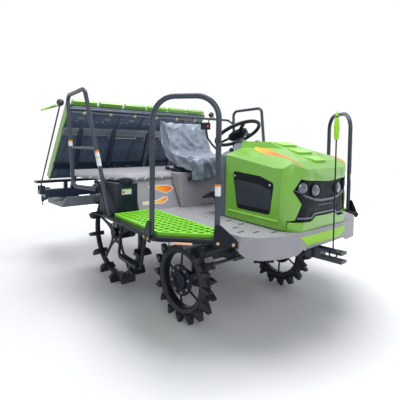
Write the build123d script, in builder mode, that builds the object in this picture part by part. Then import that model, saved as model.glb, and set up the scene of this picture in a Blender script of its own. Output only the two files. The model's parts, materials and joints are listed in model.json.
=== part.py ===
"""A six-row riding rice transplanter, standing with its planting section raised.

x points forward, y to the machine's left and z up, in millimetres. Every shape is drawn
from one ground point, 85 mm ahead of the front axle, and save() moves it so that the
origin is at the middle of the machine's footprint.
"""

import os
from math import cos, hypot, radians, sin

from build123d import *

os.makedirs("parts", exist_ok=True)

# Footprint and wheels; the point everything is drawn from is this far ahead of the middle
DRAWN_FROM = 797.5
FRONT_AXLE_X = -85.0
REAR_AXLE_X = -1020.0
FRONT_WHEEL_Y = 570.0
REAR_WHEEL_Y = 560.0
FRONT_RADIUS = 300.0
REAR_RADIUS = 455.0
KINGPIN_Y = 430.0
TIE_ROD_X = FRONT_AXLE_X + 125
TIE_ROD_Y = 400.0

# Chassis
RAIL_Y = (150.0, 200.0)
RAIL_Z = (600.0, 665.0)
FLOOR_Z = (712.0, 737.0)
DECK_Z = (970.0, 1020.0)
SKIN = 8.0
CROSS_TUBE = 36.0
CROSS_TUBE_Z = 680.0
ENGINE_FOOT = CROSS_TUBE_Z + CROSS_TUBE / 2
HITCH_Z = (525.0, 597.0)

# Side steps: the tube that frames each green mat, seen from above on the left side
STEP_TUBE = 32.0
STEP_TUBE_Z = 714.0
MAT_Z = (716.0, 750.0)
MAT_OUTLINE = ((-465, 552), (400, 672), (428, 757), (165, 990), (-465, 912))
STEP_ROUTE = ((-610, 915), (175, 1015), (455, 765), (540, 715))

# Parallel linkage and planting section
LINK_LENGTH = 600.0
LINK_RISE = 28.0
LINK_PIVOT = (-1230.0, 500.0)
LINK_SPACING = 200.0
LINK_END = (
    LINK_PIVOT[0] - LINK_LENGTH * cos(radians(LINK_RISE)),
    LINK_PIVOT[1] + LINK_LENGTH * sin(radians(LINK_RISE)),
)
HORN_LENGTH = 72.0
HORN_LEAN = 29.0
CYLINDER_PIVOT = (-640.0, 715.0)
CYLINDER_EYE = (
    LINK_PIVOT[0] - HORN_LENGTH * sin(radians(HORN_LEAN)),
    LINK_PIVOT[1] + LINK_SPACING - HORN_LENGTH * cos(radians(HORN_LEAN)),
)
BEAM_X = (-1900.0, -1820.0)
BEAM_Z = (700.0, 780.0)
BEAM_HALF = 925.0
ROW_PITCH = 300.0
CASE_Y = (-600.0, 0.0, 600.0)
ROTOR = (-2270.0, 680.0)

# Seedling platform: its front face runs from its foot to its head in the side view
PLATFORM_FOOT = (-2100.0, 864.0)
PLATFORM_HEAD = (-1570.0, 1633.0)
PLATFORM_HALF = 905.0
PLATFORM_SHIFT = 130.0
BOARD = 24.0
MARKER_PIVOT = (955.0, 800.0)
MARKER_TOP = (-1370.0, 1600.0)

# Driver's place
STEERING_CENTRE = (-100.0, 1350.0)
STEERING_FOOT = (10.0, 1165.0)
STEERING_RADIUS = 182.0

# Hood, in plan, from the side and from the front
HOOD_REAR = 50.0
HOOD_FRONT = 678.0
HOOD_BASE = 745.0
HOOD_WALL = 7.0
HOOD_HINGE = (36.0, 1286.0)
MASK_INSET = 13.0
MASK_WALL = 8.0


def save(part, name):
    export_step(Pos(DRAWN_FROM, 0, 0) * part, f"parts/{name}.step")


def block(x, y, z, mode=Mode.ADD):
    """A block between the two ends of each range."""
    with Locations(((x[0] + x[1]) / 2, (y[0] + y[1]) / 2, (z[0] + z[1]) / 2)):
        Box(x[1] - x[0], y[1] - y[0], z[1] - z[0], mode=mode)


def rod(start, end, diameter, mode=Mode.ADD):
    """A round rod between two points."""
    a, b = Vector(*start), Vector(*end)
    with Locations(Plane(origin=a, z_dir=b - a).location):
        Cylinder(
            diameter / 2,
            (b - a).length,
            align=(Align.CENTER, Align.CENTER, Align.MIN),
            mode=mode,
        )


def tube(points, bend, diameter):
    """A round tube along a line with bent corners."""
    with BuildPart() as part:
        with BuildLine() as route:
            FilletPolyline(*points, radius=bend)
        path = route.wires()[0]
        with BuildSketch(Plane(origin=path @ 0, z_dir=path % 0)):
            Circle(diameter / 2)
        sweep(path=path)
    return part.part


def side_plate(points, y, mode=Mode.ADD):
    """A plate whose outline is given as x, z pairs, between two y."""
    with BuildSketch(Plane.XZ.offset(-y[1])) as outline:
        Polygon(*points, align=None)
    extrude(outline.sketch, amount=y[1] - y[0], mode=mode)


def plan_plate(points, z, mode=Mode.ADD):
    """A plate whose outline is given as x, y pairs, between two z."""
    with BuildSketch(Plane.XY.offset(z[0])) as outline:
        Polygon(*points, align=None)
    extrude(outline.sketch, amount=z[1] - z[0], mode=mode)


def mirrored(points):
    """The x, y pairs of a left-hand outline, carried over to the right-hand side."""
    return [(x, -y) for x, y in points]


# Chassis ------------------------------------------------------------------------------


def main_frame():
    with BuildPart() as part:
        for side in (-1, 1):
            y = sorted((side * RAIL_Y[0], side * RAIL_Y[1]))
            block((-1150, 600), y, RAIL_Z)
            block((-1130, -1095), y, (RAIL_Z[1], DECK_Z[0]))
        for x in (-470, 560):
            block((x, x + 40), (-RAIL_Y[0], RAIL_Y[0]), RAIL_Z)
        for x in (-440, 60, 560):
            block((x, x + 35), (-430, 430), (RAIL_Z[1], FLOOR_Z[0]))
        rod((300, -903, CROSS_TUBE_Z), (300, 903, CROSS_TUBE_Z), CROSS_TUBE)
        rod((-400, -940, CROSS_TUBE_Z), (-400, 940, CROSS_TUBE_Z), CROSS_TUBE)
        for y in ((-46, -36), (36, 46)):
            block((-690, -600), y, (RAIL_Z[0], 745))
        block((-690, -600), (-RAIL_Y[0], RAIL_Y[0]), RAIL_Z)
        rod((CYLINDER_PIVOT[0], -46, CYLINDER_PIVOT[1]), (CYLINDER_PIVOT[0], 46, CYLINDER_PIVOT[1]), 18)
    return part.part


def link_brackets():
    """The two plates at the frame's rear end, with the pins that carry the links."""
    plate = ((-1110, 600), (-1110, 735), (-1265, 735), (-1265, 455), (-1200, 455))
    x, low = LINK_PIVOT
    with BuildPart() as part:
        for y in ((-200, -180), (180, 200)):
            side_plate(plate, y)
        for z in (low, low + LINK_SPACING):
            rod((x, -232, z), (x, 232, z), 20)
        add(main_frame(), mode=Mode.SUBTRACT)
    return part.part


def front_axle_case():
    x = FRONT_AXLE_X
    with BuildPart() as part:
        block((x - 170, x + 85), (-120, 120), (360, 590))
        block((-460, x - 170), (-135, 135), (385, 590))
        rod((x, -400, 455), (x, 400, 455), 84)
        for side in (-1, 1):
            rod((x, side * KINGPIN_Y, 395), (x, side * KINGPIN_Y, 520), 96)
        for x in ((-215, -155), (-420, -360)):
            block(x, (-200, 200), (588, 600))
    return part.part


def rear_axle_case():
    x = REAR_AXLE_X
    with BuildPart() as part:
        block((x - 80, x + 80), (-95, 95), (415, 585))
        rod((x, -410, 545), (x, 410, 545), 88)
        for side in (-1, 1):
            rod((x, side * 400, 545), (x, side * 470, 545), 130)
            rod((x, side * 400, REAR_RADIUS), (x, side * 470, REAR_RADIUS), 130)
            block((x - 65, x + 65), sorted((side * 400, side * 470)), (REAR_RADIUS, 545))
            rod((x, side * 470, REAR_RADIUS), (x, side * 476, REAR_RADIUS), 54)
            block((x - 40, x + 40), sorted((side * 150, side * 200)), (545, 600))
        rod((-460, 0, 500), (x + 80, 0, 500), 76)
    return part.part


def engine_block():
    with BuildPart() as part:
        block((130, 540), (-185, 185), (ENGINE_FOOT, 1040))
        for x in ((140, 200), (470, 530)):
            for y in ((-185, -150), (150, 185)):
                block(x, y, (RAIL_Z[1], ENGINE_FOOT))
    return part.part


# Half of the floor's outline as x, y
FLOOR_OUTLINE = (
    (-500, 0), (-500, 530), (330, 632), (489, 642), (587, 567), (642, 446), (662, 243), (668, 0),
)


def floor_sketch(inset=0.0):
    half = FLOOR_OUTLINE
    Polygon(*(list(half) + [(x, -y) for x, y in reversed(half[1:-1])]), align=None)
    if inset:
        offset(amount=-inset, mode=Mode.REPLACE)


def floor_deck():
    """The floor with its skirt, whose two lobes hang lower than its middle, and its slots."""
    lobe = 445
    with BuildPart() as part:
        with BuildSketch(Plane.XY.offset(600)):
            floor_sketch()
        extrude(amount=FLOOR_Z[1] - 600)
        with BuildSketch(Plane.XY.offset(600)):
            floor_sketch(SKIN)
        extrude(amount=FLOOR_Z[0] - 600, mode=Mode.SUBTRACT)
        block((-600, lobe), (-700, 700), (590, FLOOR_Z[0]), mode=Mode.SUBTRACT)
        side_plate(((lobe, 590), (lobe, 672), (lobe + 95, 590)), (-700, 700), mode=Mode.SUBTRACT)
        with BuildSketch(Plane.YZ.offset(lobe)):
            Polygon((-330, 590), (-250, 626), (250, 626), (330, 590), align=None)
        extrude(amount=300, mode=Mode.SUBTRACT)
        block((100, 575), (-262, 262), (FLOOR_Z[0] - 5, FLOOR_Z[1] + 5), mode=Mode.SUBTRACT)
        for y in (300, 345, 390):
            for n in range(8):
                x = 64 * n - 384
                for side in (-1, 1):
                    slot_y = sorted((side * y, side * (y + 14)))
                    block((x, x + 42), slot_y, (FLOOR_Z[0] - 1, FLOOR_Z[1] + 1), mode=Mode.SUBTRACT)
    return part.part


DECK_OUTLINE = ((-1262, 905), (-950, 922), (-560, 745), (-575, 0))


def rear_deck():
    with BuildPart() as part:
        half = DECK_OUTLINE
        plan_plate(list(half) + mirrored(reversed(half[:-1])), DECK_Z)
        front = part.edges().group_by(Axis.Z)[-1].filter_by(lambda e: e.center().X > -1200)
        chamfer(front, length=30)
    return part.part


def side_fairing():
    foot, head = -472, -580
    with BuildPart() as part:
        outer = ((foot, FLOOR_Z[1]), (head, DECK_Z[0]), (-700, DECK_Z[0]), (-700, 880))
        inner = ((foot - 12, FLOOR_Z[1]), (head - 12, DECK_Z[0] - 10))
        side_plate((outer[0], outer[1], outer[2], (-700, 960), inner[1], inner[0]), (-685, 685))
        for y in ((-685, -677), (677, 685)):
            side_plate((outer[0], outer[1], outer[2], (-700, 930), (-560, FLOOR_Z[1])), y)
        box_front = ((-425, FLOOR_Z[1]), (-470, 1020), (-560, 1020), (-560, 960), (-440, FLOOR_Z[1]))
        side_plate(box_front, (-300, 300))
    return part.part


def seat_cushion():
    with BuildPart() as part:
        block((-720, -310), (-235, 235), (1062, 1150))
        fillet(part.edges().filter_by(Axis.Z), radius=60)
        fillet(part.faces().sort_by(Axis.Z)[-1].edges(), radius=25)
    return part.part


def seat_back():
    with BuildPart() as part:
        side_plate(((-640, 1153), (-725, 1153), (-815, 1425), (-745, 1435)), (-225, 225))
        fillet(part.faces().sort_by(Axis.Z)[-1].edges().filter_by(Axis.Y), radius=25)
    return part.part


def seat_base():
    with BuildPart() as part:
        block((-680, -350), (-190, 190), (1020.5, 1061.5))
    return part.part


# Hood ---------------------------------------------------------------------------------


def hood_form(inset=0.0, base=HOOD_BASE, rear=HOOD_REAR):
    """The hood's closed form: its outlines from above, the side and the front, crossed."""
    side = (
        (rear, base),
        (rear, 1288 - inset),
        (300, 1284 - inset),
        (440, 1232 - inset),
        (600, 1165 - inset),
        (664 - inset, 1118 - inset),
        (HOOD_FRONT - inset, 1060 - inset),
        (668 - inset, 900),
        (655 - inset, base),
    )
    front = (
        (0, base),
        (375 - inset, base),
        (355 - inset, 1120 - inset),
        (300 - inset, 1185 - inset),
        (135 - inset, 1240 - inset),
        (110 - inset, 1300 - inset),
        (0, 1300 - inset),
    )
    with BuildPart() as part:
        with BuildSketch(Plane.XY.offset(base)):
            with BuildLine():
                back = Line((rear, 0), (rear, 296 - inset))
                flank = Line(back @ 1, (560, 362 - inset))
                corner = ThreePointArc(flank @ 1, (636 - inset, 300 - inset), (666 - inset, 170))
                nose = ThreePointArc(corner @ 1, (675 - inset, 90), (HOOD_FRONT - inset, 0))
                Line(nose @ 1, back @ 0)
            make_face()
            mirror(about=Plane.XZ)
        extrude(amount=600)
        with BuildSketch(Plane.XZ):
            Polygon(*side, align=None)
        extrude(amount=500, both=True, mode=Mode.INTERSECT)
        with BuildSketch(Plane.YZ):
            Polygon(*front, align=None)
            mirror(about=Plane.YZ)
        extrude(amount=900, mode=Mode.INTERSECT)
    return part.part


def hood_shell(outside, wall):
    """The hood's form, this far inside its skin, as an open shell."""
    with BuildPart() as part:
        add(hood_form(outside))
        add(hood_form(outside + wall, HOOD_BASE - 20, HOOD_REAR - 20), mode=Mode.SUBTRACT)
    return part.part


# Outline of the side grilles as x, z, and half the front opening's outline as y, z
WINDOW = ((127, 1078), (389, 1061), (510, 1026), (479, 822), (175, 820))
FRONT_OPENING = ((0, 1036), (215, 1048), (280, 1058), (320, 985), (272, 906), (308, 809))
STRIP_TOP = ((338, 795), (165, 790), (118, 818), (0, 816))


def window_prism(side):
    with BuildPart() as part:
        with BuildSketch(Plane.XZ.offset(-side * 310)) as outline:
            Polygon(*WINDOW, align=None)
            fillet(outline.vertices(), radius=26)
        extrude(amount=110, both=True)
    return part.part


def front_prism(half):
    """A prism through the hood's front, from half of its outline as y, z pairs."""
    with BuildPart() as part:
        with BuildSketch(Plane.YZ.offset(555)):
            Polygon(*half, align=None)
            mirror(about=Plane.YZ)
        extrude(amount=200)
    return part.part


def hood():
    x, z = HOOD_HINGE
    with BuildPart() as part:
        add(hood_shell(0, HOOD_WALL))
        for side in (-1, 1):
            add(window_prism(side), mode=Mode.SUBTRACT)
        add(front_prism(FRONT_OPENING + ((344, 802), (344, 700), (0, 700))), mode=Mode.SUBTRACT)
        for y in ((-94, -70), (70, 94)):
            rod((x, y[0], z), (x, y[1], z), 22)
            block((x + 4, HOOD_REAR + 20), y, (z - 6, z + 2))
            rod((x, y[0] - 1, z), (x, y[1] + 1, z), 10.6, mode=Mode.SUBTRACT)
    return part.part


def hood_grilles():
    with BuildPart() as part:
        for side in (-1, 1):
            add(window_prism(side))
        add(hood_shell(3, 5), mode=Mode.INTERSECT)
    return part.part


def lamp(y, z, x, turn):
    """A round lamp in its bezel, turned outwards from straight ahead."""
    face = Plane(origin=(x, y, z), z_dir=(cos(radians(turn)), sin(radians(turn)), 0))
    with Locations(face.location):
        with Locations((0, 0, 3)):
            Cylinder(37, 18)
        with Locations((0, 0, 9)):
            Cylinder(30, 10, mode=Mode.SUBTRACT)
        with Locations((0, 0, 4)):
            Cone(28, 15, 6, align=(Align.CENTER, Align.CENTER, Align.MIN))


def front_mask():
    """The black front with its lamps, which stays on the machine behind the hood's opening."""
    depth, back = 765, 605
    outline = FRONT_OPENING[:3] + ((330, 985), (292, 906), (326, 809), (326, depth), (0, depth))
    with BuildPart() as part:
        add(front_prism(outline))
        add(hood_form(MASK_INSET), mode=Mode.INTERSECT)
        add(hood_form(MASK_INSET + MASK_WALL, HOOD_BASE - 20, HOOD_REAR - 20), mode=Mode.SUBTRACT)
        block((back, 800), (-400, 400), (depth, 1100), mode=Mode.INTERSECT)
        for side in (-1, 1):
            lamp(side * 254, 1003, 634, side * 24)
            lamp(side * 140, 984, 652, side * 8)
    return part.part


def hood_base():
    """The green strip under the mask, which stands on the floor."""
    foot = FLOOR_Z[1]
    with BuildPart() as part:
        add(front_prism(((338, foot),) + STRIP_TOP + ((0, foot),)))
        add(hood_form(0, foot), mode=Mode.INTERSECT)
        add(hood_form(MASK_INSET, foot - 20, HOOD_REAR - 20), mode=Mode.SUBTRACT)
    return part.part


# Driver's place -----------------------------------------------------------------------


def steering_plane():
    foot = Vector(STEERING_FOOT[0], 0, STEERING_FOOT[1])
    top = Vector(STEERING_CENTRE[0], 0, STEERING_CENTRE[1])
    return Plane(origin=top, x_dir=(0, 1, 0), z_dir=top - foot)


def dashboard():
    """The panel behind the hood, with the hood's arched outline, and the steering column."""
    half = ((292, FLOOR_Z[1]), (304, 1100), (290, 1180), (140, 1236), (104, 1272), (0, 1272))
    x, z = HOOD_HINGE
    with BuildPart() as part:
        with BuildSketch(Plane.YZ.offset(-25)):
            Polygon(*half, (0, FLOOR_Z[1]), align=None)
            mirror(about=Plane.YZ)
        extrude(amount=69)
        rod((STEERING_FOOT[0] + 6, 0, STEERING_FOOT[1] - 40), (-70, 0, 1300), 62)
        for y in (-82, 82):
            for ear in ((y - 22, y - 14), (y + 14, y + 22)):
                rod((x, ear[0], z), (x, ear[1], z), 18)
                block((x - 9, x + 8), ear, (1265, z))
            rod((x, y - 22, z), (x, y + 22, z), 10)
    return part.part


def steering_wheel():
    plane = steering_plane()
    with BuildPart() as part:
        with Locations(plane.location):
            Torus(STEERING_RADIUS, 14)
            with Locations((0, 0, -10)):
                Cylinder(80, 26)
            with Locations((0, 0, -35)):
                Cone(34, 76, 24)
            for turn in (0, 120, 240):
                with Locations(Rot(0, 0, turn) * Pos(STEERING_RADIUS / 2, 0, -6)):
                    Box(STEERING_RADIUS, 30, 9)
    return part.part


def controls():
    """The lever beside the steering wheel, on the panel's right end."""
    side = -250
    stem = ((-42, 1150), (-75, 1215), (-140, 1262), (-190, 1312), (-207, 1385))
    with BuildPart() as part:
        block((-55, -25), (side - 18, side + 18), (1130, 1162))
        add(tube([(x, side, z) for x, z in stem], 30, 16))
        with Locations((-212, side, 1403)):
            Box(46, 60, 54)
    return part.part


def brake_pedal():
    with BuildPart() as part:
        side_plate(((-60, 737), (-40, 737), (-80, 880), (-100, 880)), (-262, -242))
        block((-130, -60), (-300, -215), (878, 892))
    return part.part


# Steps, rails, boxes ------------------------------------------------------------------


def step_mats():
    """Green mats with a lattice of square pockets inside a plain border."""
    border, pitch, cell, floor = 14, 50, 36, 10
    with BuildPart() as part:
        plan_plate(MAT_OUTLINE, MAT_Z)
        with BuildSketch(Plane.XY.offset(MAT_Z[1])):
            Polygon(*MAT_OUTLINE, align=None)
            offset(amount=-border, mode=Mode.REPLACE)
            with Locations((-18, 772)):
                with GridLocations(pitch, pitch, 19, 10):
                    Rectangle(cell, cell, mode=Mode.INTERSECT)
        extrude(amount=floor - (MAT_Z[1] - MAT_Z[0]), mode=Mode.SUBTRACT)
        mirror(about=Plane.XZ)
    return part.part


def gusset(foot, along, outline):
    """A plate that stands outside the step tube at a handrail's foot, held by two bosses."""
    ux, uy = along
    origin = (foot[0] - uy * 16.5, foot[1] + ux * 16.5, 0)
    plane = Plane(origin=origin, x_dir=(ux, uy, 0), z_dir=(uy, -ux, 0))
    with BuildSketch(plane) as face:
        Polygon(*outline, align=None)
    extrude(face.sketch, amount=-8)
    for s in (-45, 45):
        x, y = foot[0] + ux * s, foot[1] + uy * s
        rod((x, y, STEP_TUBE_Z), (x - uy * 24, y + ux * 24, STEP_TUBE_Z), 18)


def step_frames():
    with BuildPart() as part:
        add(tube([(x, y, STEP_TUBE_Z) for x, y in STEP_ROUTE], 60, STEP_TUBE))
        add(tube(((-800, 890, 951), (-735, 890, 945), (-610, 900, 800), (-578, 918, 722)), 60, 36))
        block((-800, -440), (700, 930), (704, 712))
        low, tube_top, high = 690, 735, 812
        rear = ((-60, low), (20, low), (20, high), (-14, high), (-60, tube_top))
        front = ((-22, low), (120, low), (110, tube_top), (22, high), (-14, high))
        gusset((135, 1010), (0.992, 0.126), rear)
        gusset((440, 778), (0.746, -0.666), front)
        mirror(about=Plane.XZ)
    return part.part


def front_handrails():
    top, foot = 1534, STEP_TUBE_Z + STEP_TUBE / 2
    rear, front = (135, 1010), (440, 778)
    with BuildPart() as part:
        add(tube(((*rear, foot), (*rear, top), (*front, top), (*front, foot)), 130, STEP_TUBE))
        mirror(about=Plane.XZ)
    return part.part


def rear_handrails():
    with BuildPart() as part:
        for side in (1, -1):
            route = (
                (-705, 930, 905), (-1000, 990, 905), (-1055, 1017, 1647), (-676, 1048, 1666),
                (-500, 945, 785), (-500, 930, 737),
            )
            points = [(x, side * y, z) for x, y, z in route]
            add(tube(points, 55, STEP_TUBE))
            rod((-1030, side * 1003, 1222), (-590, side * 996, 1222), 20)
    return part.part


def rear_guard_bar(handrails):
    route = ((-1046, -1010, 1500), (-1110, -985, 1545), (-1110, 985, 1545), (-1046, 1010, 1500))
    with BuildPart() as part:
        add(tube(route, 30, 26))
        add(handrails, mode=Mode.SUBTRACT)
    return part.part


def fuel_tank():
    with BuildPart() as part:
        block((-800, -478), (-862, -692), (712, 958))
        fillet(part.edges().filter_by(Axis.Z), radius=28)
        rod((-515, -788, 958), (-515, -788, 1000), 62)
    return part.part


def boarding_steps():
    """A hanging bar bent to a U with a channel for a tread, under each step tube."""
    foot_z, head_z = 482, STEP_TUBE_Z - 22
    rear, front = (-337, 950), (-14, 985)
    with BuildPart() as part:
        for side in (-1, 1):
            (x, y), (end_x, end_y) = rear, front
            heads = ((-284, y + 8), (52, end_y + 12))
            route = ((*heads[0], head_z), (x, y, foot_z), (end_x, end_y, foot_z), (*heads[1], head_z))
            add(tube([(px, side * py, pz) for px, py, pz in route], 28, 20))
            for px, py in heads:
                pad_y = sorted((side * (py - 13), side * (py + 13)))
                block((px - 13, px + 13), pad_y, (head_z - 6, STEP_TUBE_Z - STEP_TUBE / 2))
            tread = ((x + 30, y - 26), (end_x - 30, end_y - 26), (end_x - 30, end_y + 22), (x + 30, y + 22))
            plan_plate([(px, side * py) for px, py in tread], (foot_z - 8, foot_z + 14))
    return part.part


def tow_hitch():
    with BuildPart() as part:
        block((600, 790), (-35, 35), HITCH_Z)
        block((650, 800), (-45, 45), (HITCH_Z[0] + 18, HITCH_Z[1] - 18), mode=Mode.SUBTRACT)
        rod((762, 0, HITCH_Z[0] - 5), (762, 0, HITCH_Z[1] + 5), 20, mode=Mode.SUBTRACT)
        block((560, 600), (-60, 60), (HITCH_Z[0], RAIL_Z[0]))
    return part.part


def centre_marker():
    x, y, loop_z = 740, -45, HITCH_Z[1] - 12
    with BuildPart() as part:
        rod((x, y, loop_z + 25), (x, y, 1305), 9)
        with Locations(Pos(x, y, loop_z) * Rot(90, 0, 0)):
            Torus(25, 4.5)
        rod((x - 25, y, loop_z), (x - 25, -35, loop_z), 10)
        rod((x, y, 1300), (x, y, 1440), 22)
        with Locations((x, y, 1440)):
            Cone(11, 2, 35, align=(Align.CENTER, Align.CENTER, Align.MIN))
    return part.part


# Wheels -------------------------------------------------------------------------------


def ring(section):
    """A ring round the wheel's axis, from its section as radius, y pairs."""
    with BuildSketch(Plane.XY) as outline:
        Polygon(*section, align=None)
    revolve(outline.sketch, axis=Axis.Y)


def lug(from_side, from_front):
    """One lug at the wheel's top, where its outlines from the side and the front cross."""
    with BuildPart() as part:
        with BuildSketch(Plane.XZ):
            Polygon(*from_side, align=None)
        extrude(amount=100, both=True)
        with BuildSketch(Plane.YZ):
            Polygon(*from_front, align=None)
        extrude(amount=100, both=True, mode=Mode.INTERSECT)
    return part.part


def front_tyre():
    """Two staggered rows of pointed lugs on a thick carcass."""
    pairs, crown, tip = 16, 250, FRONT_RADIUS - 0.5
    row = lug(
        ((-27, crown - 12), (27, crown - 12), (6, tip), (-6, tip)),
        ((2, crown - 12), (38, 216), (50, 240), (40, tip), (5, tip)),
    )
    with BuildPart() as part:
        ring(((200, -30), (200, 30), (224, 42), (crown, 27), (crown, -27), (224, -42)))
        for n in range(pairs):
            turn = 360 / pairs * n
            add(Rot(0, turn, 0) * row)
            add(Rot(0, turn + 180 / pairs, 0) * mirror(row, about=Plane.XZ))
    return part.part


def front_rim():
    """A bolted disc with a cap, on thin round spokes."""
    spokes = 6
    with BuildPart() as part:
        ring(((200, -30), (200, 30), (194, 30), (188, 20), (188, -20), (194, -30)))
        rod((0, -46, 0), (0, 18, 0), 120)
        rod((0, 18, 0), (0, 30, 0), 220)
        rod((0, 30, 0), (0, 44, 0), 124)
        rod((0, 38, 0), (0, 46, 0), 92, mode=Mode.SUBTRACT)
        for n in range(spokes):
            turn = radians(360 / spokes * n + 30)
            rod(
                (90 * cos(turn), 22, 90 * sin(turn)),
                (191 * cos(turn), 12, 191 * sin(turn)),
                15,
            )
    return part.part


def rear_tyre():
    """A thin ring with lugs as wide wings across it."""
    lugs, tip = 14, REAR_RADIUS - 0.5
    wing = lug(
        ((-20, 370), (20, 370), (9, tip), (-9, tip)),
        ((-56, 371), (56, 371), (76, 398), (64, tip), (-64, tip), (-76, 398)),
    )
    with BuildPart() as part:
        ring(((368, -20), (368, 20), (384, 25), (398, 14), (398, -14), (384, -25)))
        for n in range(lugs):
            add(Rot(0, 360 / lugs * n, 0) * wing)
    return part.part


def rear_rim():
    """A hub with a flange and five flat spokes that widen towards it."""
    spokes = 5
    half = ((0, 60), (52, 76), (24, 120), (15, 175), (13, 360), (0, 360))
    with BuildPart() as part:
        ring(((356, -14), (356, 14), (368, 16), (368, -16)))
        rod((0, -82, 0), (0, 14, 0), 130)
        rod((0, 0, 0), (0, 16, 0), 190)
        rod((0, 16, 0), (0, 46, 0), 84)
        with BuildPart(mode=Mode.PRIVATE) as spoke:
            with BuildSketch(Plane.XZ.offset(-12)):
                Polygon(*half, align=None)
                mirror(about=Plane.YZ)
            extrude(amount=8)
        for n in range(spokes):
            add(Rot(0, 360 / spokes * n, 0) * spoke.part)
    return part.part


def knuckle(side):
    x, y, arm_y = FRONT_AXLE_X, side * KINGPIN_Y, side * TIE_ROD_Y
    with BuildPart() as part:
        rod((x, y, 230), (x, y, 390), 96)
        rod((x, y, FRONT_RADIUS), (x, side * (FRONT_WHEEL_Y - 51), FRONT_RADIUS), 72)
        arm = ((x, y - 30), (x, y + 30), (TIE_ROD_X, arm_y + 18), (TIE_ROD_X, arm_y - 18))
        plan_plate(arm, (372, 388))
        rod((TIE_ROD_X, arm_y, 372), (TIE_ROD_X, arm_y, 388), 36)
    return part.part


def tie_rod():
    with BuildPart() as part:
        rod((TIE_ROD_X, -TIE_ROD_Y, 405), (TIE_ROD_X, TIE_ROD_Y, 405), 22)
        for side in (-1, 1):
            rod((TIE_ROD_X, side * TIE_ROD_Y, 393), (TIE_ROD_X, side * TIE_ROD_Y, 417), 34)
    return part.part


# Linkage ------------------------------------------------------------------------------


def link_bar(start, y, width, bore):
    """A flat bar with an eye at each end, along the raised links' line."""
    rise = radians(LINK_RISE)
    end = (start[0] - LINK_LENGTH * cos(rise), start[1] + LINK_LENGTH * sin(rise))
    across = (width / 2 * sin(radians(LINK_RISE)), width / 2 * cos(radians(LINK_RISE)))
    with BuildPart() as part:
        side_plate(
            (
                (start[0] + across[0], start[1] + across[1]),
                (end[0] + across[0], end[1] + across[1]),
                (end[0] - across[0], end[1] - across[1]),
                (start[0] - across[0], start[1] - across[1]),
            ),
            y,
        )
        for x, z in (start, end):
            rod((x, y[0], z), (x, y[1], z), width + 8)
        for x, z in (start, end):
            rod((x, y[0] - 1, z), (x, y[1] + 1, z), bore, mode=Mode.SUBTRACT)
    return part.part


def lower_links():
    brace = 105.0
    rise = radians(LINK_RISE)
    middle = (LINK_PIVOT[0] - brace * cos(rise), LINK_PIVOT[1] + brace * sin(rise))
    with BuildPart() as part:
        for y in ((205, 223), (-223, -205)):
            add(link_bar(LINK_PIVOT, y, 48, 22))
        rod((middle[0], -206, middle[1]), (middle[0], 206, middle[1]), 34)
    return part.part


def upper_link():
    start = (LINK_PIVOT[0], LINK_PIVOT[1] + LINK_SPACING)
    with BuildPart() as part:
        add(link_bar(start, (-40, 40), 46, 22))
        block((start[0] - 60, start[0] + 60), (-22, 22), (start[1] - 60, start[1] + 60), mode=Mode.SUBTRACT)
        for y in ((-40, -22), (22, 40)):
            rod((start[0], y[0], start[1]), (start[0], y[1], start[1]), 54)
            lean = Vector(start[0] - CYLINDER_EYE[0], 0, start[1] - CYLINDER_EYE[1])
            across = Vector(lean.Z, 0, -lean.X).normalized() * 20
            side_plate(
                [
                    (start[0] + across.X, start[1] + across.Z),
                    (CYLINDER_EYE[0] + across.X, CYLINDER_EYE[1] + across.Z),
                    (CYLINDER_EYE[0] - across.X, CYLINDER_EYE[1] - across.Z),
                    (start[0] - across.X, start[1] - across.Z),
                ],
                y,
            )
            rod((CYLINDER_EYE[0], y[0], CYLINDER_EYE[1]), (CYLINDER_EYE[0], y[1], CYLINDER_EYE[1]), 40)
            rod((start[0], y[0] - 1, start[1]), (start[0], y[1] + 1, start[1]), 22, mode=Mode.SUBTRACT)
        rod((CYLINDER_EYE[0], -38, CYLINDER_EYE[1]), (CYLINDER_EYE[0], 38, CYLINDER_EYE[1]), 14)
    return part.part


def cylinder_point(distance):
    """A point on the lift cylinder's line, this far from its pivot."""
    dx, dz = CYLINDER_EYE[0] - CYLINDER_PIVOT[0], CYLINDER_EYE[1] - CYLINDER_PIVOT[1]
    length = hypot(dx, dz)
    return (CYLINDER_PIVOT[0] + dx / length * distance, 0, CYLINDER_PIVOT[1] + dz / length * distance)


def lift_cylinder():
    with BuildPart() as part:
        rod((CYLINDER_PIVOT[0], -33, CYLINDER_PIVOT[1]), (CYLINDER_PIVOT[0], 33, CYLINDER_PIVOT[1]), 44)
        rod(cylinder_point(0), cylinder_point(470), 64)
        rod(cylinder_point(60), cylinder_point(480), 44, mode=Mode.SUBTRACT)
        x, z = CYLINDER_PIVOT
        rod((x, -40, z), (x, 40, z), 19, mode=Mode.SUBTRACT)
    return part.part


def lift_rod():
    length = hypot(CYLINDER_EYE[0] - CYLINDER_PIVOT[0], CYLINDER_EYE[1] - CYLINDER_PIVOT[1])
    with BuildPart() as part:
        rod(cylinder_point(length - 230), cylinder_point(length - 18), 30)
        rod((CYLINDER_EYE[0], -14, CYLINDER_EYE[1]), (CYLINDER_EYE[0], 14, CYLINDER_EYE[1]), 50)
        x, z = CYLINDER_EYE
        rod((x, -20, z), (x, 20, z), 36, mode=Mode.SUBTRACT)
    return part.part


# Planting section ---------------------------------------------------------------------


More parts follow.
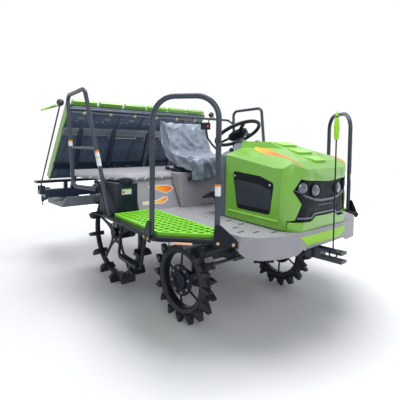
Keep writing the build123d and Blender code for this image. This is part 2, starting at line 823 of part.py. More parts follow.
def planting_frame():
    with BuildPart() as part:
        block(BEAM_X, (-BEAM_HALF, BEAM_HALF), BEAM_Z)
        for side in (-1, 1):
            block((BEAM_X[1], LINK_END[0] + 38), sorted((side * 180, side * 200)), (735, 1020))
            block((BEAM_X[0], BEAM_X[1]), sorted((side * 180, side * 200)), (780, 900))
            block((-1885, -1835), sorted((side * BEAM_HALF, side * 978)), (735, 778))
            for x in ((-1897, -1887), (-1833, -1823)):
                block(x, sorted((side * BEAM_HALF, side * 978)), (735, 822))
            y, z = side * MARKER_PIVOT[0], MARKER_PIVOT[1]
            rod((-1897, y, z), (-1823, y, z), 12)
            block((-1880, -1840), sorted((side * 560, side * 660)), (650, 700))
        block((-1880, -1840), (-60, 60), (650, 700))
        for z in (LINK_END[1], LINK_END[1] + LINK_SPACING):
            rod((LINK_END[0], -230, z), (LINK_END[0], 230, z), 20)
    return part.part


def planting_cases():
    with BuildPart() as part:
        for y in CASE_Y:
            arm = ((BEAM_X[0], 742), (BEAM_X[0], 668), (ROTOR[0], 646), (ROTOR[0], 714))
            side_plate(arm, (y - 28, y + 28))
            rod((ROTOR[0], y - 28, ROTOR[1]), (ROTOR[0], y + 28, ROTOR[1]), 68)
        for y in CASE_Y:
            rod((ROTOR[0], y - 30, ROTOR[1]), (ROTOR[0], y + 30, ROTOR[1]), 32, mode=Mode.SUBTRACT)
    return part.part


def planting_rotors():
    lean = radians(40)
    arm_x, arm_z = 60 * sin(lean), 60 * cos(lean)
    with BuildPart() as part:
        for case_y in CASE_Y:
            rod((ROTOR[0], case_y - 152, ROTOR[1]), (ROTOR[0], case_y + 152, ROTOR[1]), 28)
            for side in (-1, 1):
                row = case_y + side * ROW_PITCH / 2
                ends = [(ROTOR[0] + s * arm_x, ROTOR[1] + s * arm_z) for s in (-1, 1)]
                for x, z in ends:
                    rod((x, row - 17, z), (x, row + 17, z), 66)
                rod((ROTOR[0], row - 17, ROTOR[1]), (ROTOR[0], row + 17, ROTOR[1]), 84)
                for x, z in ends:
                    y = sorted((row + side * 17, row + side * 43))
                    side_plate(((x - 20, z + 26), (x + 22, z + 26), (x + 18, z - 46), (x - 14, z - 46)), y)
                    claw = ((x - 10, z - 46), (x + 2, z - 46), (x - 4, z - 92), (x - 8, z - 92))
                    side_plate(claw, (y[0] + 8, y[1] - 8))
    return part.part


def seedling_rail():
    with BuildPart() as part:
        block((-2165, -2070), (-BEAM_HALF, BEAM_HALF), (822, 850))
        for y in CASE_Y:
            block((-2110, -2080), (y - 20, y + 20), (700, 822))
        add(planting_cases(), mode=Mode.SUBTRACT)
    return part.part


def on_platform(along, out):
    """x, z of a point this far up the platform's front face and this far behind it."""
    dx, dz = PLATFORM_HEAD[0] - PLATFORM_FOOT[0], PLATFORM_HEAD[1] - PLATFORM_FOOT[1]
    length = hypot(dx, dz)
    ux, uz = dx / length, dz / length
    return (PLATFORM_FOOT[0] + ux * along - uz * out, PLATFORM_FOOT[1] + uz * along + ux * out)


PLATFORM_LENGTH = hypot(PLATFORM_HEAD[0] - PLATFORM_FOOT[0], PLATFORM_HEAD[1] - PLATFORM_FOOT[1])


def platform_strip(along, out, y):
    """A block lying in the platform's slope."""
    side_plate(
        (
            on_platform(along[0], out[0]), on_platform(along[1], out[0]),
            on_platform(along[1], out[1]), on_platform(along[0], out[1]),
        ),
        (y[0] + PLATFORM_SHIFT, y[1] + PLATFORM_SHIFT),
    )


def seedling_platform():
    with BuildPart() as part:
        platform_strip((0, PLATFORM_LENGTH), (0, BOARD), (-PLATFORM_HALF, PLATFORM_HALF))
        for n in range(1, 6):
            y = -900 + ROW_PITCH * n
            platform_strip((0, PLATFORM_LENGTH), (BOARD, BOARD + 40), (y - 5, y + 5))
        for along in (190, 640):
            platform_strip((along, along + 45), (-14, 0), (-PLATFORM_HALF, PLATFORM_HALF))
    return part.part


def platform_fences():
    with BuildPart() as part:
        for side in (-1, 1):
            y = sorted((side * PLATFORM_HALF, side * (PLATFORM_HALF + 12)))
            platform_strip((-4, PLATFORM_LENGTH), (-10, 78), y)
        for n in range(6):
            y = -750 + ROW_PITCH * n
            platform_strip((PLATFORM_LENGTH, PLATFORM_LENGTH + 42), (-4, 40), (y - 132, y + 132))
    return part.part


def platform_support():
    with BuildPart() as part:
        for along, width in ((205, 50), (660, 50)):
            a, b = on_platform(along - width / 2, -24), on_platform(along + width / 2, -24)
            c, d = on_platform(along + width / 2, -60), on_platform(along - width / 2, -60)
            side_plate((a, b, c, d), (-800, 800))
        top, foot = on_platform(700, -60), (-1862, 780)
        post_foot = ((foot[0] - 20, foot[1]), (foot[0] + 20, foot[1]))
        post_head = ((top[0] + 12, top[1]), (top[0] - 16, top[1]))
        for y in (-620, -235, 235, 620):
            side_plate(post_foot + post_head, (y - 22, y + 22))
    return part.part


def floats():
    with BuildPart() as part:
        for y, half, tail, front in ((0, 195, 90, -1430), (610, 190, 92, -1590), (-610, 190, 92, -1590)):
            hull = (
                (front, 722), (front - 20, 724), (front - 120, 650),
                (-2100, 650), (-2100, 606), (front - 110, 606),
            )
            side_plate(hull, (y - half, y + half))
            block((-2385, -2100), (y - tail, y + tail), (606, 640))
    return part.part


def marker(side):
    y = side * MARKER_PIVOT[0]
    foot = (-1860, y, MARKER_PIVOT[1])
    top = (MARKER_TOP[0], y, MARKER_TOP[1])
    with BuildPart() as part:
        rod((-1884, y, MARKER_PIVOT[1]), (-1836, y, MARKER_PIVOT[1]), 30)
        add(tube((foot, (-1850, y, 850), top), 20, 14))
        rod((-1886, y, MARKER_PIVOT[1]), (-1834, y, MARKER_PIVOT[1]), 13, mode=Mode.SUBTRACT)
        with Locations((top[0] + 8, y, top[2] + 22)):
            Sphere(33)
        rod((top[0], y, top[2] - 4), (top[0] - 15, side * 1120, 1542), 9)
    return part.part


save(main_frame(), "main_frame")
save(link_brackets(), "link_brackets")
save(front_axle_case(), "front_axle_case")
save(rear_axle_case(), "rear_axle_case")
save(engine_block(), "engine_block")
save(floor_deck(), "floor_deck")
save(rear_deck(), "rear_deck")
save(side_fairing(), "side_fairing")
save(seat_cushion(), "seat_cushion")
save(seat_back(), "seat_back")
save(seat_base(), "seat_base")
save(hood(), "hood")
save(hood_grilles(), "hood_grilles")
save(front_mask(), "front_mask")
save(hood_base(), "hood_base")
save(dashboard(), "dashboard")
save(steering_wheel(), "steering_wheel")
save(controls(), "control_lever")
save(brake_pedal(), "brake_pedal")
save(step_mats(), "step_mats")
save(step_frames(), "step_frames")
save(front_handrails(), "front_handrails")
handrails = rear_handrails()
save(handrails, "rear_handrails")
save(rear_guard_bar(handrails), "rear_guard_bar")
save(fuel_tank(), "fuel_tank")
save(boarding_steps(), "boarding_steps")
save(tow_hitch(), "tow_hitch")
save(centre_marker(), "centre_marker")
front_rubber, front_disc = front_tyre(), front_rim()
rear_rubber, rear_disc = rear_tyre(), rear_rim()
for side, name in ((-1, "right"), (1, "left")):
    turn = Rot(0, 0, 90 - 90 * side)
    front_place = Pos(FRONT_AXLE_X, side * FRONT_WHEEL_Y, FRONT_RADIUS) * turn
    rear_place = Pos(REAR_AXLE_X, side * REAR_WHEEL_Y, REAR_RADIUS) * turn
    save(front_place * front_rubber, f"front_tyre_{name}")
    save(front_place * front_disc, f"front_rim_{name}")
    save(rear_place * rear_rubber, f"rear_tyre_{name}")
    save(rear_place * rear_disc, f"rear_rim_{name}")
    save(knuckle(side), f"knuckle_{name}")
    save(marker(side), f"marker_{name}")
save(tie_rod(), "tie_rod")
save(lower_links(), "lower_links")
save(upper_link(), "upper_link")
save(lift_cylinder(), "lift_cylinder")
save(lift_rod(), "lift_rod")
save(planting_frame(), "planting_frame")
save(planting_cases(), "planting_cases")
save(planting_rotors(), "planting_rotors")
save(seedling_rail(), "seedling_rail")
save(seedling_platform(), "seedling_platform")
save(platform_fences(), "platform_fences")
save(platform_support(), "platform_support")
save(floats(), "floats")
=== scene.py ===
"""Riding rice transplanter: finishes, trim, soft pieces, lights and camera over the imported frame.

Lengths are metres. X runs forward, Y to the machine's left and Z up. Places are measured from the
part's drawing point on the ground, as in its source, and at() moves them into the frame.
"""

import json
import math
from bisect import bisect_left
from functools import cache

import bmesh
import bpy
from mathutils import Matrix, Vector, noise
from mathutils.bvhtree import BVHTree


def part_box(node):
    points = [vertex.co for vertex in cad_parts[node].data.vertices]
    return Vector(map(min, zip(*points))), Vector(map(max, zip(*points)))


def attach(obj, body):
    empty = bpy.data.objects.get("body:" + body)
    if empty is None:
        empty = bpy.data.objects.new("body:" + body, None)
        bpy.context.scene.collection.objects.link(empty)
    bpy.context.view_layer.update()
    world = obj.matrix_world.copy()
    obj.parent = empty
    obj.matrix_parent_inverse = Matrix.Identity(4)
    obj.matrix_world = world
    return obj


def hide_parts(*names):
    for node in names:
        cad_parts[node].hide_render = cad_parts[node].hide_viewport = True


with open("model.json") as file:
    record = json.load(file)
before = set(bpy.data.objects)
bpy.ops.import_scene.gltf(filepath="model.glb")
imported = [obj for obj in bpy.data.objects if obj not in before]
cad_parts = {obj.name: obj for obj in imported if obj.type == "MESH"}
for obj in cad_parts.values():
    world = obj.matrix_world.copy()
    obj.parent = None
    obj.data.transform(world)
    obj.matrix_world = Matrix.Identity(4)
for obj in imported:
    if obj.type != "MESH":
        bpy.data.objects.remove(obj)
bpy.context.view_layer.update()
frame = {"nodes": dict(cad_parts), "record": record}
nodes = frame["nodes"]

DRAWN_FROM = Vector((0.7975, 0, 0))
UP, DOWN, AFT = Vector((0, 0, 1)), Vector((0, 0, -1)), Vector((-1, 0, 0))
RIGHT, LEFT = -1, 1
SIDES = {RIGHT: "right", LEFT: "left"}


def at(x, y, z):
    """A place in the frame, from one measured like the part's source."""
    return DRAWN_FROM + Vector((x, y, z))


def mirrored(line, side):
    """Places written for the machine's right, on either side."""
    return [at(x, y if side == RIGHT else -y, z) for x, y, z in line]


# ---- Finishes ----

# Noise scales in waves per metre, for a colour's broad clouding and for patches of polish
CLOUDING, PATCHES = 6.0, 18.0
FINE_BUMP = 0.0002


def set_up(target, **values):
    """Sets several of a thing's properties."""
    for key, value in values.items():
        setattr(target, key, value)
    return target


def feed(node, **values):
    """Sets a node's inputs; underscores stand for the spaces in their names."""
    for key, value in values.items():
        node.inputs[key.replace("_", " ")].default_value = value
    return node


class Tree:
    """A node tree, with short calls for what the finishes and the stage share."""

    def __init__(self, owner):
        owner.use_nodes = True
        self.nodes, self.links = owner.node_tree.nodes, owner.node_tree.links

    def add(self, kind, **settings):
        return set_up(self.nodes.new("ShaderNode" + kind), **settings)

    def link(self, source, target):
        self.links.new(source, target)

    def through(self, kind, source, entry, result, **inputs):
        """What a node makes of a source."""
        node = feed(self.add(kind), **inputs)
        self.link(source, node.inputs[entry])
        return node.outputs[result]

    def calculate(self, operation, first, second=0.5):
        node = self.add("Math", operation=operation)
        for socket, value in zip(node.inputs, (first, second)):
            if isinstance(value, (int, float)):
                socket.default_value = value
            else:
                self.link(value, socket)
        return node.outputs[0]

    def seen_directly(self):
        """1 for the camera's own rays and for those that metal or glass passes on, else 0."""
        rays = self.add("LightPath").outputs
        shown = rays["Is Camera Ray"]
        for kind in ("Is Glossy Ray", "Is Transmission Ray"):
            shown = self.calculate("MAXIMUM", shown, rays[kind])
        return shown


class Nodes(Tree):
    """A material's nodes round its one shader."""

    def __init__(self, name, colour, roughness, **inputs):
        self.material = bpy.data.materials.new(name)
        super().__init__(self.material)
        self.colour, self.shader = colour, self.nodes["Principled BSDF"]
        feed(self.shader, Base_Color=(*colour, 1), Roughness=roughness, **inputs)
        self.place = self.add("TexCoord").outputs["Object"]

    def along(self, axis):
        """How far along one of the part's axes the surface is."""
        return self.through("SeparateXYZ", self.place, 0, axis)

    def noise(self, scale, detail=3.0, stretch=None):
        place = self.place
        if stretch:
            place = self.through("Mapping", place, "Vector", "Vector", Scale=stretch)
        return self.through("TexNoise", place, "Vector", "Fac", Scale=scale, Detail=detail)

    def cells(self, scale):
        return self.through("TexVoronoi", self.place, "Vector", "Distance", Scale=scale)

    def spread(self, source, start, end, low=0.0, high=1.0):
        """The source between start and end, as a value between low and high."""
        ends = {"From_Min": start, "From_Max": end, "To_Min": low, "To_Max": high}
        return self.through("MapRange", source, "Value", "Result", **ends)

    def ramp(self, source, low, high, start=0.3, end=0.7):
        """Two colours, or two greys, across a factor."""
        node = self.add("ValToRGB")
        for element, position, value in zip(node.color_ramp.elements, (start, end), (low, high)):
            element.position = position
            element.color = (*value, 1) if isinstance(value, tuple) else (value, value, value, 1)
        self.link(source, node.inputs["Fac"])
        return node.outputs["Color"]

    def paint(self, source, low, high, start=0.3, end=0.7):
        self.link(self.ramp(source, low, high, start, end), self.shader.inputs["Base Color"])

    def tones(self, source, *factors, start=0.3, end=0.7):
        """The finish's own colour, at two brightnesses across a source."""
        shades = [tuple(min(1.0, channel * factor) for channel in self.colour) for factor in factors]
        self.paint(source, *shades, start, end)

    def polish(self, source, low, high):
        self.link(self.ramp(source, low, high), self.shader.inputs["Roughness"])

    def bump(self, source, distance, strength=0.5):
        inputs = {"Distance": distance, "Strength": strength}
        normal = self.through("Bump", source, "Height", "Normal", **inputs)
        self.link(normal, self.shader.inputs["Normal"])


def mottled(name, colour, roughness, grain=220.0, depth=FINE_BUMP, vary=0.12, **inputs):
    """A moulded or painted surface: fine grain, faint cloudiness, uneven polish."""
    made = Nodes(name, colour, roughness, **inputs)
    made.tones(made.noise(CLOUDING), 1 - vary, 1 + vary)
    made.polish(made.noise(PATCHES), roughness * 0.85, min(1.0, roughness * 1.2))
    made.bump(made.noise(grain), depth)
    return made.material


def brushed(name, colour, roughness):
    """Bare metal with fine lines along the part."""
    made = Nodes(name, colour, roughness, Metallic=1.0)
    made.polish(made.noise(40.0, stretch=(1, 12, 12)), roughness * 0.7, roughness * 1.3)
    made.tones(made.noise(9.0), 0.85, 1.1)
    made.bump(made.noise(90.0, stretch=(1, 20, 20)), 0.0001)
    return made.material


def grit(name, colour, roughness):
    """Pale moulded floor with the small raised dots of an anti-slip surface."""
    made = Nodes(name, colour, roughness)
    made.tones(made.noise(5.0), 0.92, 1.06)
    made.bump(made.cells(120.0), 0.0006, 0.35)
    return made.material


def rubber(name, colour):
    made = Nodes(name, colour, 0.62)
    made.tones(made.noise(12.0), 0.75, 1.45)
    made.polish(made.noise(30.0), 0.5, 0.75)
    made.bump(made.noise(160.0), 0.0006, 0.6)
    return made.material


def cast(name, colour):
    """Rough cast metal."""
    made = Nodes(name, colour, 0.5, Metallic=0.35)
    made.tones(made.noise(8.0), 0.8, 1.25)
    made.bump(made.noise(260.0, detail=6.0), 0.0008, 0.7)
    return made.material


def leathery(name, colour):
    """Grained seat vinyl."""
    made = Nodes(name, colour, 0.42)
    made.tones(made.noise(7.0), 0.85, 1.2)
    made.bump(made.cells(420.0), 0.0006, 0.5)
    return made.material


def pocketed(name, colour, floor, top):
    """A moulded mat with painted shade: darkest on its pockets' floors, and lighter up every wall
    towards the top.
    """
    painted_floor_shade, fade_below, floor_band = 0.13, 0.030, 0.0015
    made = Nodes(name, colour, 0.42)
    height = made.along("Z")
    # Painted shade: the colour darkens down the walls and is darkest on the pocket floors.
    walls = made.spread(height, floor - fade_below, top)
    off_floor = made.calculate("ABSOLUTE", made.calculate("SUBTRACT", height, floor))
    above_shaded_floor = made.calculate("GREATER_THAN", off_floor, floor_band)
    bright = made.calculate("MULTIPLY", walls, above_shaded_floor)
    made.tones(bright, painted_floor_shade, 1.0, start=0.0, end=1.0)
    made.polish(made.noise(PATCHES), 0.36, 0.5)
    made.bump(made.noise(180.0), FINE_BUMP)
    return made.material


def blended(name, first, second, axis, start, end, roughness=0.4):
    """Two colours that run into each other along one axis of the part, alike on both sides."""
    made = Nodes(name, first, roughness)
    reach = made.calculate("ABSOLUTE", made.along(axis))
    made.paint(made.spread(reach, start, end), first, second, 0.0, 1.0)
    made.polish(made.noise(25.0), roughness * 0.8, roughness * 1.2)
    made.bump(made.noise(350.0), 0.0001)
    return made.material


def film(name, colour):
    """Thin clouded plastic film: glossy creases, a little see-through."""
    made = Nodes(name, colour, 0.26, Alpha=0.95)
    made.tones(made.noise(9.0, detail=4.0), 0.80, 1.18, start=0.35, end=0.65)
    made.polish(made.noise(30.0), 0.18, 0.38)
    made.bump(made.noise(45.0, detail=4.0, stretch=(1.0, 2.6, 0.8)), 0.0022, 0.7)
    return made.material


GLOSS = {"Coat_Weight": 0.55, "Coat_Roughness": 0.22}
MATT = {"Specular_IOR_Level": 0.15}
MAT_FLOOR, MAT_TOP = 0.726, 0.748

# The finish of each of the record's material slots
FINISH = {
    "frame_paint": mottled("frame paint", (0.016, 0.026, 0.047), 0.30, grain=60, depth=0.0003),
    "body_green": mottled(
        "hood green", (0.150, 0.400, 0.022), 0.34, grain=300, vary=0.06, **GLOSS
    ),
    "mat_green": pocketed("mat green", (0.210, 0.640, 0.022), MAT_FLOOR, MAT_TOP),
    "deck_grey": grit("deck grey", (0.300, 0.296, 0.322), 0.42),
    "mesh_black": mottled("mask black", (0.0030, 0.0055, 0.0090), 0.52, grain=400, **MATT),
    "tyre_rubber": rubber("lug rubber", (0.008, 0.011, 0.016)),
    "wheel_paint": mottled("wheel paint", (0.009, 0.013, 0.021), 0.38, **MATT),
    "case_metal": cast("cast case", (0.030, 0.038, 0.050)),
    "engine_metal": cast("engine casting", (0.22, 0.23, 0.25)),
    "steel": brushed("bright steel", (0.55, 0.56, 0.58), 0.28),
    "seat_vinyl": leathery("seat vinyl", (0.030, 0.036, 0.046)),
    "dash_grey": mottled("dash grey", (0.085, 0.105, 0.145), 0.5),
    "tank_black": mottled("tank black", (0.014, 0.021, 0.033), 0.42, grain=260, **MATT),
    "float_grey": mottled("float grey", (0.16, 0.18, 0.21), 0.5),
    "board_grey": mottled("board grey", (0.100, 0.140, 0.205), 0.5),
    "marker_green": mottled("marker dark", (0.022, 0.030, 0.042), 0.35),
}

# Nodes that look unlike the rest of their slot
STEP_PAINT = mottled("step paint", (0.006, 0.010, 0.016), 0.40, grain=60, depth=0.0003, **MATT)
OWN_FINISH = {
    "step_frames": STEP_PAINT,
    "boarding_steps": STEP_PAINT,
    "steering_wheel": mottled("wheel grip", (0.007, 0.010, 0.016), 0.45, grain=240, **MATT),
}

WHITE = mottled("label white", (0.72, 0.74, 0.76), 0.35, grain=400, vary=0.04)
ORANGE = mottled("label orange", (0.78, 0.26, 0.02), 0.38, grain=400, vary=0.05)
LIME = mottled("label lime", (0.30, 0.66, 0.012), 0.40, grain=400, vary=0.04)
PALE = mottled("pale zinc", (0.36, 0.38, 0.41), 0.38, grain=200, vary=0.15, Metallic=0.4)
DARK = mottled("dark plastic", (0.008, 0.012, 0.019), 0.45, grain=200, **MATT)
RED = mottled("signal red", (0.62, 0.045, 0.025), 0.35, grain=300, vary=0.06)
BRONZE = brushed("bronze bolts", (0.42, 0.27, 0.16), 0.38)
BLADE = mottled("blade grey", (0.130, 0.165, 0.225), 0.30, grain=300)

# Moulded and pressed nodes whose edges are rounded off, and by what radius
ROUNDED = {
    "hood": 0.006, "hood_base": 0.003, "front_mask": 0.003, "floor_deck": 0.005,
    "side_fairing": 0.008, "rear_deck": 0.006, "fuel_tank": 0.010, "dashboard": 0.004,
    "step_mats": 0.0015, "platform_fences": 0.003, "floats": 0.006,
}
SAME_POINT, SHARP_EDGE = 0.00002, math.radians(32)


def paint_nodes():
    """Each CAD node in its slot's finish, or in its own."""
    for part in frame["record"]["subparts"]:
        finish = OWN_FINISH.get(part["node"], FINISH[part["material_slot"]])
        slots = nodes[part["node"]].data.materials
        slots.clear()
        slots.append(finish)


def modify(piece, name, kind, **settings):
    """A modifier with its settings."""
    return set_up(piece.modifiers.new(name, kind), **settings)


def round_edges():
    for node, radius in ROUNDED.items():
        modify(nodes[node], "weld", "WELD", merge_threshold=SAME_POINT)
        modify(
            nodes[node], "edges", "BEVEL", width=radius, segments=2, limit_method="ANGLE",
            angle_limit=SHARP_EDGE, use_clamp_overlap=True,
        )


# ---- Building pieces ----

# How far behind its place a ray starts, and the x of what is laid on from in front
RAY_START, IN_FRONT = 0.6, 0.6


@cache
def surface(node):
    """A CAD node's mesh, ready for rays."""
    data = nodes[node].data
    points = [vertex.co.copy() for vertex in data.vertices]
    return BVHTree.FromPolygons(points, [tuple(polygon.vertices) for polygon in data.polygons])


def landed(node, point, direction, back=RAY_START):
    """Where a ray through the point meets the node first, and the surface's direction there."""
    direction = Vector(direction).normalized()
    place, normal, _, _ = surface(node).ray_cast(point - direction * back, direction)
    if place is None:
        return None
    return place, (normal if normal.dot(direction) < 0 else -normal)


def straight(first, second, parts):
    """Evenly spaced places from one to another."""
    return [first.lerp(second, i / parts) for i in range(parts + 1)]


def resampled(line, count):
    """Evenly spaced points along a line of points."""
    line = [Vector(point) for point in line]
    lengths = [0.0]
    for first, second in zip(line, line[1:]):
        lengths.append(lengths[-1] + (second - first).length)
    result = []
    for step in range(count):
        wanted = lengths[-1] * step / (count - 1)
        i = max(1, bisect_left(lengths, wanted - 1e-9))
        share = (wanted - lengths[i - 1]) / max(1e-9, lengths[i] - lengths[i - 1])
        result.append(line[i - 1].lerp(line[i], share))
    return result


def around(count, start=0.0):
    """Evenly spaced angles all the way round."""
    return [2 * math.pi * i / count + start for i in range(count)]


def head(radius, shoulder, top, face, sunk=0.0):
    """The profile of a low round head: a wall up to its shoulder, then a smaller top face."""
    return (-sunk, radius), (shoulder, radius), (top, face)


def added(name, data):
    """A new object in the scene."""
    made = bpy.data.objects.new(name, data)
    bpy.context.collection.objects.link(made)
    return made


class Shape:
    """Forms gathered in one closed mesh, which becomes a piece that rides on a body."""

    drawn = []

    def __init__(self, name, slot, finish, body="chassis", smooth=40.0):
        self.settings = name, slot, finish, body, smooth
        self.mesh = bmesh.new()
        self.drawn.append(self)

    def build(self):
        """Makes the piece; edges sharper than smooth degrees stay crisp."""
        name, slot, finish, body, smooth = self.settings
        bmesh.ops.recalc_face_normals(self.mesh, faces=self.mesh.faces)
        data = bpy.data.meshes.new(name)
        self.mesh.to_mesh(data)
        self.mesh.free()
        data.materials.append(finish)
        data.shade_smooth()
        data.set_sharp_from_angle(angle=math.radians(smooth))
        piece = added(name, data)
        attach(piece, body)

    def loft(self, rings):
        """A skin over rings of equal length, closed at both ends."""
        rows = [[self.mesh.verts.new(point) for point in ring] for ring in rings]
        for near, far in zip(rows, rows[1:]):
            for i in range(len(near)):
                j = (i + 1) % len(near)
                self.mesh.faces.new((near[i], near[j], far[j], far[i]))
        self.mesh.faces.new(rows[0][::-1])
        self.mesh.faces.new(rows[-1])

    def slab(self, outline, normal, thickness, edge=0.001):
        """A flat plate with its top edge taken off; the outline is its underside."""
        normal = Vector(normal).normalized()
        centre = sum(outline, Vector()) / len(outline)
        inner = [point + (centre - point).normalized() * edge for point in outline]
        self.loft([
            outline,
            [point + normal * (thickness - edge) for point in outline],
            [point + normal * thickness for point in inner],
        ])

    def turned(self, start, axis, profile, sides=24):
        """A turned form from pairs of distance along the axis and radius."""
        axis = Vector(axis).normalized()
        side = axis.orthogonal().normalized()
        other = axis.cross(side)
        self.loft([
            [
                start + axis * along + (side * math.cos(a) + other * math.sin(a)) * radius
                for a in around(sides)
            ]
            for along, radius in profile
        ])

    def stud(self, node, place, direction, profile, sides, back=RAY_START, facing=None):
        """A turned form that stands on the node where a ray through the place meets it."""
        hit = landed(node, place, direction, back)
        if hit:
            self.turned(hit[0], hit[1] if facing is None else facing, profile, sides)

    def bar(self, route, radius, sides=12, flat=1.0):
        """A round bar along a route; flat squeezes it across its second axis."""
        side = None
        rings = []
        for i, point in enumerate(route):
            ahead = (route[min(i + 1, len(route) - 1)] - route[max(i - 1, 0)]).normalized()
            if side is None:
                upright = abs(ahead.z) > 0.95
                side = ahead.orthogonal() if upright else ahead.cross(UP)
            side = (side - ahead * side.dot(ahead)).normalized()
            other = ahead.cross(side)
            rings.append([
                point + side * math.cos(a) * radius * flat + other * math.sin(a) * radius
                for a in around(sides)
            ])
        self.loft(rings)

    def wrap(self, low, high, radius, facing):
        """A thin plate bent round an upright tube, on the side that it faces."""
        arc, thickness, sides = math.radians(150), 0.0012, 14
        axis = (high - low).normalized()
        facing = Vector(facing)
        facing = (facing - axis * facing.dot(axis)).normalized()
        across = axis.cross(facing)
        angles = [arc * (i / sides - 0.5) for i in range(sides + 1)]

        def ring(point):
            outer, inner = [
                [point + (facing * math.cos(a) + across * math.sin(a)) * reach for a in angles]
                for reach in (radius + thickness, radius)
            ]
            return outer + inner[::-1]

        self.loft([ring(low), ring(high)])

    def patch(self, grid, lift, sink=0.0006):
        """A thin skin over a grid of (place, surface direction); lift is a height or a rule."""
        rows, columns = len(grid), len(grid[0])
        top, under = [], []
        for i, row in enumerate(grid):
            height = lift(i / (rows - 1)) if callable(lift) else lift
            top.append([self.mesh.verts.new(p + n * height) for p, n in row])
            under.append([self.mesh.verts.new(p - n * sink) for p, n in row])
        for i in range(rows - 1):
            for j in range(columns - 1):
                self.mesh.faces.new((top[i][j], top[i][j + 1], top[i + 1][j + 1], top[i + 1][j]))
                self.mesh.faces.new(
                    (under[i][j], under[i + 1][j], under[i + 1][j + 1], under[i][j + 1])
                )
        rim = [(0, j) for j in range(columns)] + [(i, columns - 1) for i in range(1, rows)]
        rim += [(rows - 1, j) for j in range(columns - 2, -1, -1)]
        rim += [(i, 0) for i in range(rows - 2, 0, -1)]
        for (a, b), (c, d) in zip(rim, rim[1:] + rim[:1]):
            self.mesh.faces.new((top[a][b], under[a][b], under[c][d], top[c][d]))

    def band(self, node, lower, upper, direction, lift, steps):
        """A patch between two lines of places, laid on a node along a direction."""
        lower, upper = resampled(lower, steps[0]), resampled(upper, steps[0])
        grid = []
        for first, second in zip(lower, upper):
            row = [landed(node, place, direction) for place in straight(first, second, steps[1])]
            if all(row):
                grid.append(row)
        if len(grid) > 1:
            self.patch(grid, lift)

    def front_band(self, node, lower, upper, side, lift, steps):
        """A band laid on from in front, between two lines of (y, z)."""
        lines = [mirrored([(IN_FRONT, y, z) for y, z in line], side) for line in (lower, upper)]
        self.band(node, *lines, AFT, lift, steps)


# ---- Hood and mask ----

ABOVE_HOOD, BESIDE_HOOD = 1.2, 0.5

# The right stripe's outer and inner edge as x, y
STRIPE = (
    ((0.188, -0.146), (0.235, -0.190), (0.292, -0.219), (0.384, -0.262), (0.430, -0.264),
     (0.490, -0.281), (0.560, -0.301), (0.620, -0.286), (0.652, -0.258)),
    ((0.188, -0.131), (0.250, -0.138), (0.310, -0.150), (0.362, -0.178), (0.430, -0.222),
     (0.506, -0.262), (0.575, -0.280), (0.630, -0.268), (0.652, -0.250)),
)


def hood_stripes():
    """A stripe on each side of the hood's top, wide behind and narrow in front."""
    finish = blended("stripe", (0.84, 0.50, 0.03), (0.80, 0.14, 0.02), "X", 0.98, 1.24)
    stripes = Shape("hood_stripes", "body_green", finish, "hood")
    for side in SIDES:
        edges = [mirrored([(x, y, ABOVE_HOOD) for x, y in line], side) for line in STRIPE]
        stripes.band("hood", *edges, DOWN, 0.0009, (40, 8))


# Front edge's x, length, half width behind and half width in front
SCOOPS = (
    (0.385, 0.095, 0.098, 0.080), (0.505, 0.085, 0.104, 0.084), (0.612, 0.070, 0.100, 0.070),
)


def hood_scoops():
    """Three shallow steps in the raised middle of the hood, each higher at its front, in a lighter
    green that paints their highlight.
    """
    # Painted highlight: the scoops' green is a lighter copy of the hood's green.
    finish = mottled("hood scoops highlight", (0.27, 0.60, 0.060), 0.28, grain=300, vary=0.05)
    scoops = Shape("hood_scoops", "body_green", finish, "hood", 20.0)
    squares, skin, rise = 8, 0.0006, 0.011
    for x, length, rear, front in SCOOPS:
        edges = [
            straight(at(x - length, y * rear, ABOVE_HOOD), at(x, y * front, ABOVE_HOOD), squares)
            for y in SIDES
        ]
        grid = [
            [landed("hood", place, DOWN) for place in straight(*ends, squares)]
            for ends in zip(*edges)
        ]
        scoops.patch(grid, lambda share: skin + rise * share)


def hood_ridge():
    """The raised band along the foot of each side of the hood, in a lighter green that paints its
    highlight.
    """
    # Painted highlight: the band is real, its lighter green is a lit copy of the hood's green.
    finish = mottled("hood ridge highlight", (0.20, 0.52, 0.035), 0.28, grain=300, vary=0.05)
    ridge = Shape("hood_ridges", "body_green", finish, "hood")
    rear, front, height, radius, sunk = 0.085, 0.545, 0.792, 0.011, 0.003
    for side in SIDES:
        starts = straight(at(rear, 0.45 * side, height), at(front, 0.45 * side, height), 21)
        hits = [landed("hood", start, (0, -side, 0), 0.1) for start in starts]
        ridge.bar([place - normal * sunk for place, normal in filter(None, hits)], radius, flat=0.7)


# A side window's outline and screws as x, z
WINDOW = ((0.127, 1.078), (0.389, 1.061), (0.510, 1.026), (0.479, 0.822), (0.175, 0.820))
WINDOW_SCREWS = ((0.150, 1.045), (0.474, 1.010))


def heights(outline, x):
    """The lowest and highest place of a closed outline at one x."""
    found = []
    for (ax, az), (bx, bz) in zip(outline, outline[1:] + outline[:1]):
        if min(ax, bx) <= x <= max(ax, bx) and ax != bx:
            found.append(az + (bz - az) * (x - ax) / (bx - ax))
    return min(found), max(found)


